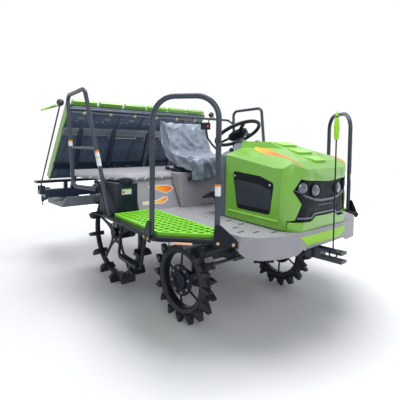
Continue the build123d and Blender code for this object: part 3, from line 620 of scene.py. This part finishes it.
def window_mesh():
    """Upright wires over the dark panel of each side window, and its two screws."""
    finish = mottled("window wire", (0.040, 0.055, 0.080), 0.4, grain=200)
    wires = Shape("window_wires", "mesh_black", finish, "hood")
    screws = Shape("window_screws", "steel", PALE, "hood")
    first, pitch, count = 0.158, 0.0088, 38
    above_foot, below_head = 0.03, 0.055
    for side in SIDES:
        inward = (0, -side, 0)
        for i in range(count):
            x = first + pitch * i
            low, high = heights(WINDOW, x)
            ends = [
                landed("hood_grilles", at(x, BESIDE_HOOD * side, z), inward)
                for z in (low + above_foot, high - below_head)
            ]
            if all(ends):
                wires.bar([place + normal * 0.0006 for place, normal in ends], 0.0016, sides=6)
        for x, z in WINDOW_SCREWS:
            place = at(x, BESIDE_HOOD * side, z)
            profile = head(0.008, 0.003, 0.005, 0.005, sunk=0.001)
            screws.stud("hood_grilles", place, inward, profile, 14)


# Lower line, upper line and lift, as y, z on the right half: the blade under the lamps, the
# stepped lower edge and the fine line between them
MASK_LINES = (
    (((-0.300, 0.988), (-0.226, 0.944), (-0.150, 0.921), (-0.065, 0.909)),
     ((-0.302, 0.993), (-0.226, 0.957), (-0.150, 0.936), (-0.065, 0.924)), 0.007),
    (((-0.282, 0.812), (-0.165, 0.806), (-0.150, 0.808), (-0.126, 0.828)),
     ((-0.284, 0.824), (-0.168, 0.817), (-0.155, 0.820), (-0.130, 0.840)), 0.006),
    (((-0.090, 0.886), (-0.040, 0.882)), ((-0.090, 0.890), (-0.040, 0.887)), 0.003),
)
# The right half's lamps, as distance from the middle, height and radius
LAMPS = ((0.254, 1.003, 0.034), (0.140, 0.984, 0.038))


def mask_trim():
    """The mask's three raised lines, each in one piece from side to side."""
    finish = mottled("mask edge grey", (0.075, 0.100, 0.140), 0.32, grain=300)
    trim = Shape("mask_trim", "mesh_black", finish)
    for *halves, lift in MASK_LINES:
        lower, upper = [[*half, *((-y, z) for y, z in half[::-1])] for half in halves]
        trim.front_band("front_mask", lower, upper, RIGHT, lift, (64, 3))


def lamp_lenses():
    """Two domed lamps on each side of the mask, each in its bezel."""
    clear = {"Coat_Weight": 0.8, "Coat_Roughness": 0.04}
    finish = mottled("lamp glass", (0.060, 0.080, 0.120), 0.12, grain=60, **clear)
    lenses = Shape("lamp_lenses", "mesh_black", finish)
    rings = Shape("lamp_bezels", "mesh_black", DARK)
    for side in SIDES:
        for y, z, radius in LAMPS:
            place = at(IN_FRONT, side * y, z)
            lens = (
                (0.001, radius), (0.004, radius), (0.010, radius * 0.8),
                (0.014, radius * 0.5), (0.0155, 0.004),
            )
            bezel = (
                (0.0, radius + 0.006), (0.005, radius + 0.006),
                (0.009, radius + 0.003), (0.003, radius - 0.001),
            )
            lenses.stud("front_mask", place, AFT, lens, 32)
            rings.stud("front_mask", place, AFT, bezel, 32)


# ---- Floor, fairing and rear deck ----


def skirt_strip():
    """The blank strip on the front of the skirt, wider at its top."""
    strip = Shape("skirt_strip", "body_green", LIME)
    lower, upper = [((-half, z), (half, z)) for half, z in ((0.212, 0.648), (0.292, 0.708))]
    strip.front_band("floor_deck", lower, upper, RIGHT, 0.0012, (40, 4))


# Each slot's middle on the left half, as x, y
SLOTS = (
    (0.160, 0.372), (0.285, 0.390), (0.425, 0.560), (0.486, 0.490),
    (0.552, 0.400), (0.606, 0.315), (0.330, 0.500),
)


def floor_slots():
    """Dark slabs with round ends across the floor, the painted shade of its slots."""
    # Painted shade: thin dark plates on the deck stand for the shade inside its slot openings.
    slots = Shape("floor_slots", "deck_grey", DARK)
    half_length, end, floor = 0.022, 0.007, 0.7366
    for x, y in SLOTS:
        for side in SIDES:
            outline = []
            for angle in around(16):
                reach = math.copysign(half_length, math.sin(angle)) + end * math.sin(angle)
                outline.append(at(x + end * math.cos(angle), side * y + reach, floor))
            slots.slab(outline, UP, 0.0012, 0.0008)


# Lower and upper line as y, z: two tapered bands, and two dashes that lead into the lower one
SWOOSHES = (
    (((-0.545, 0.908), (-0.479, 0.888), (-0.437, 0.870), (-0.391, 0.858), (-0.345, 0.868),
      (-0.312, 0.884)),
     ((-0.545, 0.914), (-0.473, 0.914), (-0.430, 0.914), (-0.394, 0.913), (-0.345, 0.910),
      (-0.312, 0.890))),
    (((-0.575, 0.786), (-0.510, 0.784), (-0.460, 0.782), (-0.425, 0.788), (-0.394, 0.810)),
     ((-0.575, 0.796), (-0.510, 0.800), (-0.460, 0.810), (-0.425, 0.822), (-0.394, 0.816))),
    (((-0.640, 0.786), (-0.622, 0.786)), ((-0.632, 0.797), (-0.614, 0.797))),
    (((-0.608, 0.786), (-0.588, 0.786)), ((-0.600, 0.797), (-0.580, 0.797))),
)


def grown(line, edge, rise):
    """A line of y, z moved up or down, and out past both its ends."""
    (first, low), (last, high) = line[0], line[-1]
    middle = [(y, z + rise) for y, z in line[1:-1]]
    return [(first - edge, low + rise), *middle, (last + edge, high + rise)]


def swooshes():
    """The coloured bands and dashes on the fairing's front, each with a pale edge."""
    finish = blended("swoosh", (0.82, 0.15, 0.02), (0.86, 0.52, 0.03), "Y", 0.34, 0.56)
    colour = Shape("fairing_swooshes", "deck_grey", finish)
    pale = Shape("fairing_swoosh_edges", "deck_grey", WHITE)
    edge, steps = 0.006, (30, 4)
    for side in SIDES:
        for lower, upper in SWOOSHES:
            colour.front_band("side_fairing", lower, upper, side, 0.0016, steps)
            lower, upper = grown(lower, edge, -edge), grown(upper, edge, edge)
            pale.front_band("side_fairing", lower, upper, side, 0.0009, steps)


def deck_marks():
    """Slanted raised marks along the rear deck's side and front edges."""
    marks = Shape("deck_marks", "deck_grey", WHITE)
    foot, top, lift, steps = 0.971, 0.991, 0.0015, (4, 6)
    for side in SIDES:
        for i in range(5):
            x, y = -0.880 + 0.078 * i, -0.881 + 0.0363 * i
            low = mirrored([(x - 0.020, y - 0.009, foot), (x - 0.007, y - 0.003, foot)], side)
            high = mirrored([(x, y, top), (x + 0.013, y + 0.006, top)], side)
            marks.band("rear_deck", low, high, (0.41, -0.91 * side, 0), lift, steps)
        for y in (-0.655, -0.571, -0.487, -0.403):
            lower, upper = ((y - 0.018, foot), (y - 0.004, foot)), ((y + 0.001, top), (y + 0.015, top))
            marks.front_band("rear_deck", lower, upper, side, lift, steps)


# ---- Rails and steps ----

PLATE_RADIUS = 0.0165


def ahead_outside(side):
    """The way that a handrail's plates and plugs face."""
    return Vector((0.75, 0.66 * side, 0))


def line_at(low, high, z):
    """The place at a height on a straight leg."""
    share = (z - low[2]) / (high[2] - low[2])
    return tuple(a + (b - a) * share for a, b in zip(low, high))


FRONT_LEG = ((0.440, -0.778, 0.8), (0.440, -0.778, 1.4))
REAR_LEG = ((-0.500, -0.945, 0.785), (-0.676, -1.048, 1.666))
BACK_LEG = ((-1.000, -0.990, 0.905), (-1.055, -1.017, 1.647))
# Leg, finish, and the heights of a plate's foot and top
PLATES = (
    (FRONT_LEG, WHITE, 0.975, 1.027), (FRONT_LEG, ORANGE, 1.027, 1.040),
    (REAR_LEG, WHITE, 1.092, 1.150), (REAR_LEG, LIME, 1.150, 1.158),
    (REAR_LEG, WHITE, 1.158, 1.190), (REAR_LEG, ORANGE, 1.190, 1.206),
    (BACK_LEG, WHITE, 1.233, 1.268), (BACK_LEG, ORANGE, 1.268, 1.282),
)


def rail_plates():
    """Blank plates bent round the handrails' legs, in bands of three colours."""
    for name, finish in (("white", WHITE), ("orange", ORANGE), ("lime", LIME)):
        plates = Shape(f"rail_plates_{name}", "frame_paint", finish)
        for leg, _, foot, top in [plate for plate in PLATES if plate[1] is finish]:
            for side in SIDES:
                ends = mirrored([line_at(*leg, foot), line_at(*leg, top)], side)
                plates.wrap(*ends, PLATE_RADIUS, ahead_outside(side))


def rail_plugs():
    """Small dark plugs in the front handrails' legs."""
    plugs = Shape("rail_plugs", "frame_paint", DARK)
    for x, y, z in (
        (0.135, 1.010, 1.30), (0.135, 1.010, 1.06), (0.440, 0.778, 1.28), (0.440, 0.778, 1.10),
    ):
        for side in SIDES:
            facing = ahead_outside(side).normalized()
            start = at(x, side * y, z) + facing * 0.0155
            plugs.turned(start, facing, head(0.005, 0.0012, 0.002, 0.003), 12)


# A gusset's foot and direction as x, y, and its bolts' places along it
GUSSETS = (
    ((0.440, 0.778), (0.746, -0.666), (0.006, 0.092)),
    ((0.135, 1.010), (0.992, 0.126), (-0.045, 0.004)),
)


def bolts():
    """The hexagonal heads on the gussets at the front handrails' feet."""
    heads = Shape("gusset_bolts", "steel", BRONZE)
    for side in SIDES:
        for (x, y), (ux, uy), places in GUSSETS:
            inward = Vector((uy, -side * ux, 0))
            for along in places:
                place = at(x + ux * along, side * (y + uy * along), 0.712)
                profile = head(0.010, 0.0055, 0.007, 0.0085)
                heads.stud("step_frames", place, inward, profile, 6, 0.08)


def step_reflectors():
    """The pale orange bar in a bracket under each step's front corner."""
    finish = mottled("reflector", (0.72, 0.42, 0.22), 0.3, grain=300, vary=0.08)
    bars = Shape("step_reflectors", "steel", finish)
    brackets = Shape("reflector_brackets", "steel", PALE)
    corners = ((0.248, -0.966), (0.266, -0.950), (0.259, -0.942), (0.241, -0.958))
    for side in SIDES:
        ends = mirrored([(0.268, -0.956, 0.699), (0.350, -0.883, 0.699)], side)
        bars.bar(straight(*ends, 4), 0.007)
        brackets.slab(mirrored([(x, y, 0.686) for x, y in corners], side), UP, 0.026)


# ---- Fuel tank ----


def tank_label():
    """A blank label with a lime head line and a red dot."""
    white = Shape("tank_label", "tank_black", WHITE)
    lime = Shape("tank_label_edge", "tank_black", LIME)
    red = Shape("tank_label_dot", "tank_black", RED)
    foot, line, top = [((-0.842, z), (-0.760, z)) for z in (0.880, 0.914, 0.922)]
    for side in SIDES:
        white.front_band("fuel_tank", foot, top, side, 0.0012, (6, 3))
        lime.front_band("fuel_tank", line, top, side, 0.0020, (6, 2))
        place = at(IN_FRONT, side * 0.828, 0.898)
        red.stud("fuel_tank", place, AFT, head(0.010, 0.002, 0.0026, 0.009), 20)


# The raised frame round the tank's front panel: two uprights and a head, as y, z
TANK_FRAME = (
    (((-0.835, 0.735), (-0.826, 0.735)), ((-0.835, 0.850), (-0.826, 0.838))),
    (((-0.728, 0.735), (-0.719, 0.735)), ((-0.728, 0.838), (-0.719, 0.850))),
    (((-0.835, 0.844), (-0.719, 0.844)), ((-0.835, 0.853), (-0.719, 0.853))),
)


def tank_details():
    """A ribbed filler cap, and the frame on the tank's front."""
    cap = Shape("tank_cap", "tank_black", FINISH["tank_black"])
    panel = Shape("tank_frame", "tank_black", FINISH["tank_black"])
    grip = 0.047
    profile = ((0, 0.046), (0.010, 0.048), (0.030, grip), (0.040, 0.040), (0.043, 0.02))
    for side in SIDES:
        place = at(-0.515, side * 0.788, 0.957)
        cap.turned(place, UP, profile, 32)
        for angle in around(16):
            rib = place + Vector((math.cos(angle) * grip, math.sin(angle) * grip, 0.008))
            cap.turned(rib, UP, head(0.004, 0.022, 0.025, 0.002), 8)
        for lower, upper in TANK_FRAME:
            panel.front_band("fuel_tank", lower, upper, side, 0.004, (8, 3))


# ---- Controls and markers ----

SEAT_LEVERS = (
    ((-0.60, -0.205, 1.028), (-0.62, -0.235, 1.034), (-0.66, -0.262, 1.046)),
    ((-0.52, -0.205, 1.028), (-0.53, -0.240, 1.030), (-0.56, -0.270, 1.040)),
    ((-0.40, -0.200, 1.030), (-0.385, -0.235, 1.022), (-0.375, -0.262, 0.990)),
    ((-0.60, 0.205, 1.028), (-0.62, 0.235, 1.034), (-0.66, 0.262, 1.046)),
)


def controls():
    """The key under the steering wheel, the lever's button and the levers under the seat."""
    red = Shape("key_and_button", "dash_grey", RED)
    grey = Shape("seat_levers", "dash_grey", DARK)
    key = at(-0.052, -0.050, 1.232)
    barrel = ((-0.012, 0.006), (0.0, 0.011), (0.012, 0.012), (0.018, 0.008))
    red.turned(key, (0.35, -0.6, 0.5), barrel, 16)
    tag = (
        (0.008, -0.012, -0.022), (0.014, -0.008, -0.022), (0.014, -0.008, 0.0), (0.008, -0.012, 0.0),
    )
    red.slab([key + Vector(corner) for corner in tag], (0.5, -0.8, 0), 0.006)
    button = head(0.011, 0.004, 0.007, 0.007, sunk=0.002)
    red.stud("control_lever", at(-0.19, -0.25, 1.400), (-0.6, 0.75, -0.1), button, 18, 0.3)
    knob = ((-0.01, 0.012), (0.0, 0.016), (0.022, 0.015), (0.030, 0.010))
    for route in SEAT_LEVERS:
        grey.bar(resampled([at(*place) for place in route], 7), 0.009)
        grey.turned(at(*route[-1]), Vector(route[-1]) - Vector(route[-2]), knob, 14)


def dash_details():
    """Three knobs on the panel behind the steering wheel."""
    knobs = Shape("dash_knobs", "dash_grey", DARK)
    profile = ((-0.002, 0.016), (0.012, 0.016), (0.020, 0.014), (0.024, 0.008))
    for x, y in ((0.02, -0.20), (0.02, 0.20), (0.05, -0.15)):
        knobs.stud("dashboard", at(x, y, 1.3), DOWN, profile, 20, 0.3)


def pedal():
    """The pedal's ribbed pad and its two struts."""
    pad = Shape("brake_pedal_pad", "dash_grey", DARK)
    strut = Shape("brake_pedal_strut", "dash_grey", STEP_PAINT)
    normal, thickness = Vector((-0.478, 0, 0.878)), 0.016
    corners = (
        (-0.150, -0.325, 0.848), (-0.150, -0.195, 0.848),
        (-0.058, -0.195, 0.898), (-0.058, -0.325, 0.898),
    )
    pad.slab([at(*corner) for corner in corners], normal, thickness, 0.004)
    for i in range(5):
        x, z = -0.140 + 0.018 * i, 0.8535 + 0.0098 * i
        ends = [at(x, y, z) + normal * thickness for y in (-0.312, -0.208)]
        pad.bar(straight(*ends, 4), 0.0028, sides=8)
    for y, radius, route in (
        (-0.240, 0.010, ((-0.070, 0.884), (-0.052, 0.800), (-0.030, 0.738))),
        (-0.262, 0.007, ((-0.100, 0.868), (-0.045, 0.775), (-0.010, 0.738))),
    ):
        strut.bar(resampled([at(x, y, z) for x, z in route], 9), radius)


def marker_lance():
    """The lime head of the centre marker's pole."""
    lance = Shape("centre_marker_tip", "marker_green", LIME)
    profile = (
        (0, 0.0118), (0.004, 0.0130), (0.040, 0.0150), (0.070, 0.0175), (0.100, 0.0150),
        (0.135, 0.0115), (0.160, 0.0070), (0.1745, 0.0030),
    )
    lance.turned(at(0.74, -0.045, 1.300), UP, profile, 20)


def marker_sticks():
    """The lime stick that ends each side marker, from its ball outwards."""
    for side, name in SIDES.items():
        stick = Shape(f"marker_stick_{name}", "marker_green", LIME, f"marker_{name}")
        ends = at(-1.366, side * 0.990, 1.600), at(-1.382, side * 1.112, 1.5455)
        stick.bar(straight(*ends, 6), 0.0068, sides=10)


# ---- Wheels ----

# Axle, its x and height, and its bolts' ring radius, count and size
AXLES = (
    ("front", -0.085, 0.300, 0.088, 8, 0.0085),
    ("rear", -1.020, 0.455, 0.075, 6, 0.0095),
)


def wheel_bolts():
    """Bolts round each front wheel's disc and each rear wheel's hub."""
    for side, name in SIDES.items():
        for axle, x, height, radius, count, size in AXLES:
            heads = Shape(f"{axle}_hub_bolts_{name}", "steel", PALE, f"{axle}_wheel_{name}")
            profile = head(size, 0.006, 0.0075, size * 0.8, sunk=0.001)
            for angle in around(count, 0.2):
                across, up = radius * math.cos(angle), radius * math.sin(angle)
                heads.stud(
                    f"{axle}_rim_{name}", at(x + across, side * 0.8, height + up),
                    (0, -side, 0), profile, 6, 0.1, facing=(0, side, 0),
                )


# ---- Planting section ----

PLATFORM_FOOT, PLATFORM_HEAD = Vector((-2.100, 0, 0.864)), Vector((-1.570, 0, 1.633))
UP_SLOPE = (PLATFORM_HEAD - PLATFORM_FOOT).normalized()
OUT_FRONT = Vector((UP_SLOPE.z, 0, -UP_SLOPE.x))
PLATFORM_MIDDLE, ROW, ROWS = 0.130, 0.300, 6
PLATFORM_REACH, SUPPORT_REACH = 0.88, 0.80


def on_platform(along, out, y):
    """A place this far up the platform's front face and this far in front of it."""
    return DRAWN_FROM + PLATFORM_FOOT + UP_SLOPE * along + OUT_FRONT * out + Vector((0, y, 0))


def sloped(shape, along, out, y, half, edge=0.001):
    """A block that lies in the platform's slope, as far as half to each side of y."""
    outline = [
        on_platform(along[i], out[0], y + half * side) for i, side in ((0, -1), (1, -1), (1, 1), (0, 1))
    ]
    shape.slab(outline, OUT_FRONT, out[1] - out[0], edge)


def row_front(y, ribs, tags, discs):
    """What one row has on its front: fine ribs in two fields, a tag, two studs and a disc."""
    for step in range(8):
        for field in ((0.44, 0.76), (0.08, 0.40)):
            sloped(ribs, field, (0.0, 0.004), y - 0.105 + 0.03 * step, 0.003, 0.0005)
    sloped(tags, (0.778, 0.800), (0.0, 0.010), y, 0.030, 0.004)
    stud = ((0, 0.010), (0.008, 0.009), (0.012, 0.005))
    for place in (y - 0.115, y - 0.045):
        tags.turned(on_platform(0.752, 0.0, place), OUT_FRONT, stud, 12)
    disc = head(0.018, 0.004, 0.008, 0.012)
    discs.turned(on_platform(0.868, 0.036, y), OUT_FRONT, disc, 16)


def platform_front():
    """Tubes, dividers, ribs, tags, studs and discs on the front of the seedling platform."""
    finish = mottled("pale yellow", (0.62, 0.60, 0.28), 0.4, grain=300)
    tubes = Shape("platform_tubes", "board_grey", BLADE, "platform")
    tags = Shape("platform_tags", "steel", PALE, "platform")
    ribs = Shape("platform_ribs", "board_grey", BLADE, "platform")
    discs = Shape("platform_discs", "steel", finish, "platform")
    low, high = PLATFORM_MIDDLE - PLATFORM_REACH, PLATFORM_MIDDLE + PLATFORM_REACH
    edge = PLATFORM_MIDDLE - ROW * ROWS / 2
    for along, out, radius in ((0.922, 0.022, 0.010), (0.868, 0.026, 0.012)):
        tubes.bar(straight(on_platform(along, out, low), on_platform(along, out, high), 8), radius)
    for n in range(ROWS + 1):
        y = min(max(edge + ROW * n, low + 0.02), high - 0.02)
        sloped(ribs, (0.04, 0.83), (0.0, 0.018), y, 0.006)
    for n in range(ROWS):
        row_front(edge + ROW * (n + 0.5), ribs, tags, discs)


def support_channel():
    """The light double channel across the platform's support, with the rod below it."""
    finish = mottled("channel grey", (0.22, 0.25, 0.28), 0.35, grain=200, vary=0.18, Metallic=0.3)
    channel = Shape("support_channel", "board_grey", finish, "planting_section")
    rod = Shape("support_rod", "steel", PALE, "planting_section")
    for low, high in ((0.618, 0.650), (0.668, 0.702)):
        sloped(channel, (low, high), (0.060, 0.070), 0, SUPPORT_REACH, 0.003)
    sloped(channel, (0.614, 0.706), (0.0602, 0.064), 0, SUPPORT_REACH)
    for first, second in ((-0.26, 0.07), (0.42, 0.56)):
        rod.bar(straight(on_platform(0.585, 0.050, first), on_platform(0.585, 0.050, second), 4), 0.010)
    for y in (-0.262, 0.072):
        sloped(rod, (0.575, 0.64), (0.050, 0.060), y, 0.014, 0.002)
    sloped(rod, (0.560, 0.636), (0.055, 0.062), 0.235, 0.035, 0.010)


# ---- Seat ----

PAD_SHRINK, PAD_VOXEL, PAD_SWELL = 0.965, 0.009, 0.016
STUFFING_FRAMES, DRAPE_FRAMES = 14, 26

# The cover's middle line as x, z: from behind the back, over it, down to the seat and over
# the seat's front
COVER_LINE = (
    (-0.868, 1.215), (-0.852, 1.330), (-0.836, 1.420), (-0.805, 1.448), (-0.750, 1.442),
    (-0.712, 1.360), (-0.655, 1.205), (-0.610, 1.168), (-0.450, 1.160), (-0.325, 1.158),
    (-0.288, 1.138), (-0.272, 1.085), (-0.266, 1.020),
)
COVER_TOP_HALF, COVER_FALL = 0.246, 0.105
ROWS_ALONG, COLUMNS = 72, 52


def settled(piece, frames=1):
    """Gives the piece its mesh as its modifiers leave it at the last frame, and clears them."""
    scene = bpy.context.scene
    for number in range(1, frames + 1):
        scene.frame_set(number)
    shape = piece.evaluated_get(bpy.context.evaluated_depsgraph_get())
    data = bpy.data.meshes.new_from_object(shape)
    scene.frame_set(1)
    piece.modifiers.clear()
    piece.data = data


def stuffed(pad):
    """Swells the pad by simulated pressure, with no point further out than the limit."""
    before = [vertex.co.copy() for vertex in pad.data.vertices]
    cloth = modify(pad, "stuffing", "CLOTH").settings
    set_up(cloth, use_pressure=True, uniform_pressure_force=4.0, quality=4)
    cloth.effector_weights.gravity = 0.0
    settled(pad, STUFFING_FRAMES)
    for vertex, start in zip(pad.data.vertices, before):
        moved = vertex.co - start
        if moved.length > PAD_SWELL:
            vertex.co = start + moved.normalized() * PAD_SWELL


def seat_pad(node, name):
    """A stuffed pad in the space of a seat's solid."""
    data = nodes[node].data.copy()
    low, high = (Vector(corner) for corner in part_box(node))
    centre = (low + high) / 2
    for vertex in data.vertices:
        vertex.co = centre + (vertex.co - centre) * PAD_SHRINK
    pad = added(name, data)
    modify(pad, "remesh", "REMESH", mode="VOXEL", voxel_size=PAD_VOXEL)
    settled(pad)
    stuffed(pad)
    pad.data.materials.clear()
    pad.data.materials.append(FINISH["seat_vinyl"])
    modify(pad, "smooth", "SMOOTH", iterations=8, factor=0.6)
    settled(pad)
    for vertex in pad.data.vertices:
        for axis in range(3):
            vertex.co[axis] = min(max(vertex.co[axis], low[axis] - 0.004), high[axis] + 0.006)
    pad.data.shade_smooth()
    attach(pad, "chassis")
    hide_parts(node)
    return pad


def cover_mesh(line):
    """The film before it drapes: lightly folded, and bent down beyond the seat's sides."""
    half = COVER_TOP_HALF + COVER_FALL
    points = []
    for i, place in enumerate(line):
        ahead = (line[min(i + 2, ROWS_ALONG - 1)] - line[max(i - 2, 0)]).normalized()
        out = Vector((-ahead.z, 0, ahead.x))
        for j in range(COLUMNS):
            across = half * (2 * j / (COLUMNS - 1) - 1)
            over = max(0.0, abs(across) - COVER_TOP_HALF)
            y = math.copysign(abs(across) - over * 0.85, across)
            slant = i / ROWS_ALONG * 1.9 - across * 2.4
            waver = 0.5 + noise.noise(Vector((i * 0.11, across * 5, 0)))
            folds = 0.010 * math.sin(24 * slant) * waver
            crumple = 0.008 * noise.noise(Vector((i * 0.30, across * 15, 3.0)))
            points.append(place + Vector((0, y, 0)) + out * (0.012 + folds + crumple - over * 0.9))
    faces = [
        (a, a + 1, a + COLUMNS + 1, a + COLUMNS)
        for i in range(ROWS_ALONG - 1)
        for a in range(i * COLUMNS, i * COLUMNS + COLUMNS - 1)
    ]
    data = bpy.data.meshes.new("seat_cover")
    data.from_pydata(points, [], faces)
    return data


def draped(cover, line, pads):
    """Lets the film fall over the pads, held on the back's top and in the seat's crease."""
    top = min(range(ROWS_ALONG), key=lambda i: -line[i].z)
    crease = min(range(ROWS_ALONG), key=lambda i: (line[i] - at(-0.622, 0, 1.175)).length)
    pinned = [(top, j) for j in (6, 7, COLUMNS // 2, COLUMNS - 8, COLUMNS - 7)]
    pinned += [(crease, j) for j in range(12, COLUMNS - 12, 2)]
    held = cover.vertex_groups.new(name="held")
    held.add([i * COLUMNS + j for i, j in pinned], 1.0, "REPLACE")
    for pad in pads:
        modify(pad, "touch", "COLLISION")
        set_up(pad.collision, thickness_outer=0.004, cloth_friction=15.0)
    cloth = modify(cover, "drape", "CLOTH")
    set_up(
        cloth.settings, vertex_group_mass="held", mass=0.05, quality=6, tension_stiffness=12.0,
        compression_stiffness=12.0, shear_stiffness=6.0, bending_stiffness=0.02, air_damping=2.0,
    )
    cloth.collision_settings.distance_min = 0.004
    settled(cover, DRAPE_FRAMES)
    for pad in pads:
        pad.modifiers.clear()


def creased(cover):
    """Sharp creases along the slant of the folds, and the pulled-up corner at the top right."""
    peak, peak_reach, pull = at(-0.775, -0.245, 1.440), 0.09, Vector((0.0, -0.018, 0.034))
    normals = [vertex.normal.copy() for vertex in cover.data.vertices]
    for vertex, normal in zip(cover.data.vertices, normals):
        i, j = divmod(vertex.index, COLUMNS)
        broad = noise.noise(Vector((i * 0.07 + j * 0.15, j * 0.30 - i * 0.11, 7.0)))
        fine = noise.noise(Vector((i * 0.21 + j * 0.10, j * 0.45 - i * 0.16, 1.0)))
        broad, fine = (max(0.0, 1 - abs(value) * 3.2) for value in (broad, fine))
        vertex.co += normal * (broad * 0.0075 + fine * 0.0035)
        reach = (vertex.co - peak).length
        if reach < peak_reach:
            vertex.co += pull * (1 - reach / peak_reach) ** 2


def seat_cover(pads, finish):
    """The loose film that still wraps the new seat, draped over both pads by simulation."""
    line = resampled([at(x, 0, z) for x, z in COVER_LINE], ROWS_ALONG)
    cover = added("seat_cover", cover_mesh(line))
    draped(cover, line, pads)
    creased(cover)
    cover.data.materials.append(finish)
    modify(cover, "subdivide", "SUBSURF", levels=1, render_levels=1)
    modify(cover, "film", "SOLIDIFY", thickness=0.0008)
    cover.data.shade_smooth()
    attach(cover, "chassis")


def seat():
    pads = [seat_pad("seat_cushion", "seat_pad"), seat_pad("seat_back", "seat_back_pad")]
    seat_cover(pads, film("clouded film", (0.215, 0.250, 0.315)))


# ---- Stage ----

LAMP_AIM = (-0.6, 0, 0.9)
# Each lamp's name, place, size and watts
STUDIO_LAMPS = (
    ("top", (-0.2, -0.4, 4.8), 3.4, 215),
    ("key", (3.4, -2.6, 2.8), 2.2, 56),
    ("fill", (3.0, 3.0, 2.4), 2.6, 18),
    ("back", (-3.6, 0.6, 3.6), 2.6, 70),
)


def studio():
    """A surround that looks white but lights in a dim blue grey, and four lamps."""
    world = bpy.data.worlds.new("studio")
    made = Tree(world)
    mix = feed(made.add("Mix", data_type="RGBA"), A=(0.30, 0.325, 0.37, 1), B=(1, 1, 1, 1))
    made.link(made.seen_directly(), mix.inputs["Factor"])
    made.link(mix.outputs["Result"], made.nodes["Background"].inputs["Color"])
    bpy.context.scene.world = world
    for name, place, size, watts in STUDIO_LAMPS:
        data = bpy.data.lights.new(name, "AREA")
        data.size, data.energy = size, watts
        lamp = added(name, data)
        lamp.location = at(*place)
        aim = at(*LAMP_AIM) - lamp.location
        lamp.rotation_euler = aim.to_track_quat("-Z", "Y").to_euler()


def floor():
    """A pale floor that emits light for direct rays only, rising to the surround's white far out; it
    emits little near the machine, and that dim zone, centred a little behind it and to its right, is a
    painted shadow.
    """
    data = bpy.data.meshes.new("floor")
    reach = 14.0
    corners = [(-reach, -reach, 0), (reach, -reach, 0), (reach, reach, 0), (-reach, reach, 0)]
    data.from_pydata(corners, [], [(0, 1, 2, 3)])
    made = Nodes("floor", (0.80, 0.80, 0.80), 0.9, Emission_Color=(1, 1, 1, 1))
    made.bump(made.noise(30.0), FINE_BUMP, 0.1)
    # Painted shadow: the floor emits least near this point, a little behind the machine and to its
    # right.
    from_painted_shadow_middle = made.add("VectorMath", operation="SUBTRACT")
    from_painted_shadow_middle.inputs[1].default_value = (-0.45, -0.35, 0.0)
    made.link(made.place, from_painted_shadow_middle.inputs[0])
    distance = made.add("VectorMath", operation="LENGTH")
    made.link(from_painted_shadow_middle.outputs["Vector"], distance.inputs[0])
    glow_past_painted_shadow = made.spread(distance.outputs["Value"], 1.9, 4.4, 0.03, 1.0)
    shown = made.calculate("MULTIPLY", glow_past_painted_shadow, made.seen_directly())
    made.link(shown, made.shader.inputs["Emission Strength"])
    data.materials.append(made.material)
    plane = added("floor", data)


def camera():
    """At the photograph's viewing angle: turned, tipped and rolled about its own axis."""
    yaw, pitch, roll = (math.radians(angle) for angle in (140.305, -2.336, 0.678))
    forward = Vector(
        (math.cos(yaw) * math.cos(pitch), math.sin(yaw) * math.cos(pitch), math.sin(pitch))
    )
    right = forward.cross(UP).normalized()
    up = right.cross(forward)
    turned = right * math.cos(roll) + up * math.sin(roll)
    raised = up * math.cos(roll) - right * math.sin(roll)
    data = bpy.data.cameras.new("camera")
    data.lens, data.sensor_width = 32.94, 36.0
    data.shift_x, data.shift_y = 0.0565, -0.104
    eye = added("camera", data)
    turn = Matrix((turned, raised, -forward)).transposed()
    eye.matrix_world = Matrix.Translation(at(1.86, -2.253, 1.265)) @ turn.to_4x4()
    bpy.context.scene.camera = eye


TRIM = (
    wheel_bolts, pedal, tank_details, marker_sticks, rail_plugs, dash_details, hood_stripes,
    hood_scoops, hood_ridge, window_mesh, mask_trim, lamp_lenses, skirt_strip, floor_slots,
    swooshes, deck_marks, rail_plates, bolts, step_reflectors, tank_label, controls,
    marker_lance, platform_front, support_channel,
)
for step in (paint_nodes, round_edges, seat, *TRIM):
    step()
for shape in Shape.drawn:
    shape.build()
studio()
floor()
camera()
bpy.context.scene.view_settings.view_transform = "Standard"
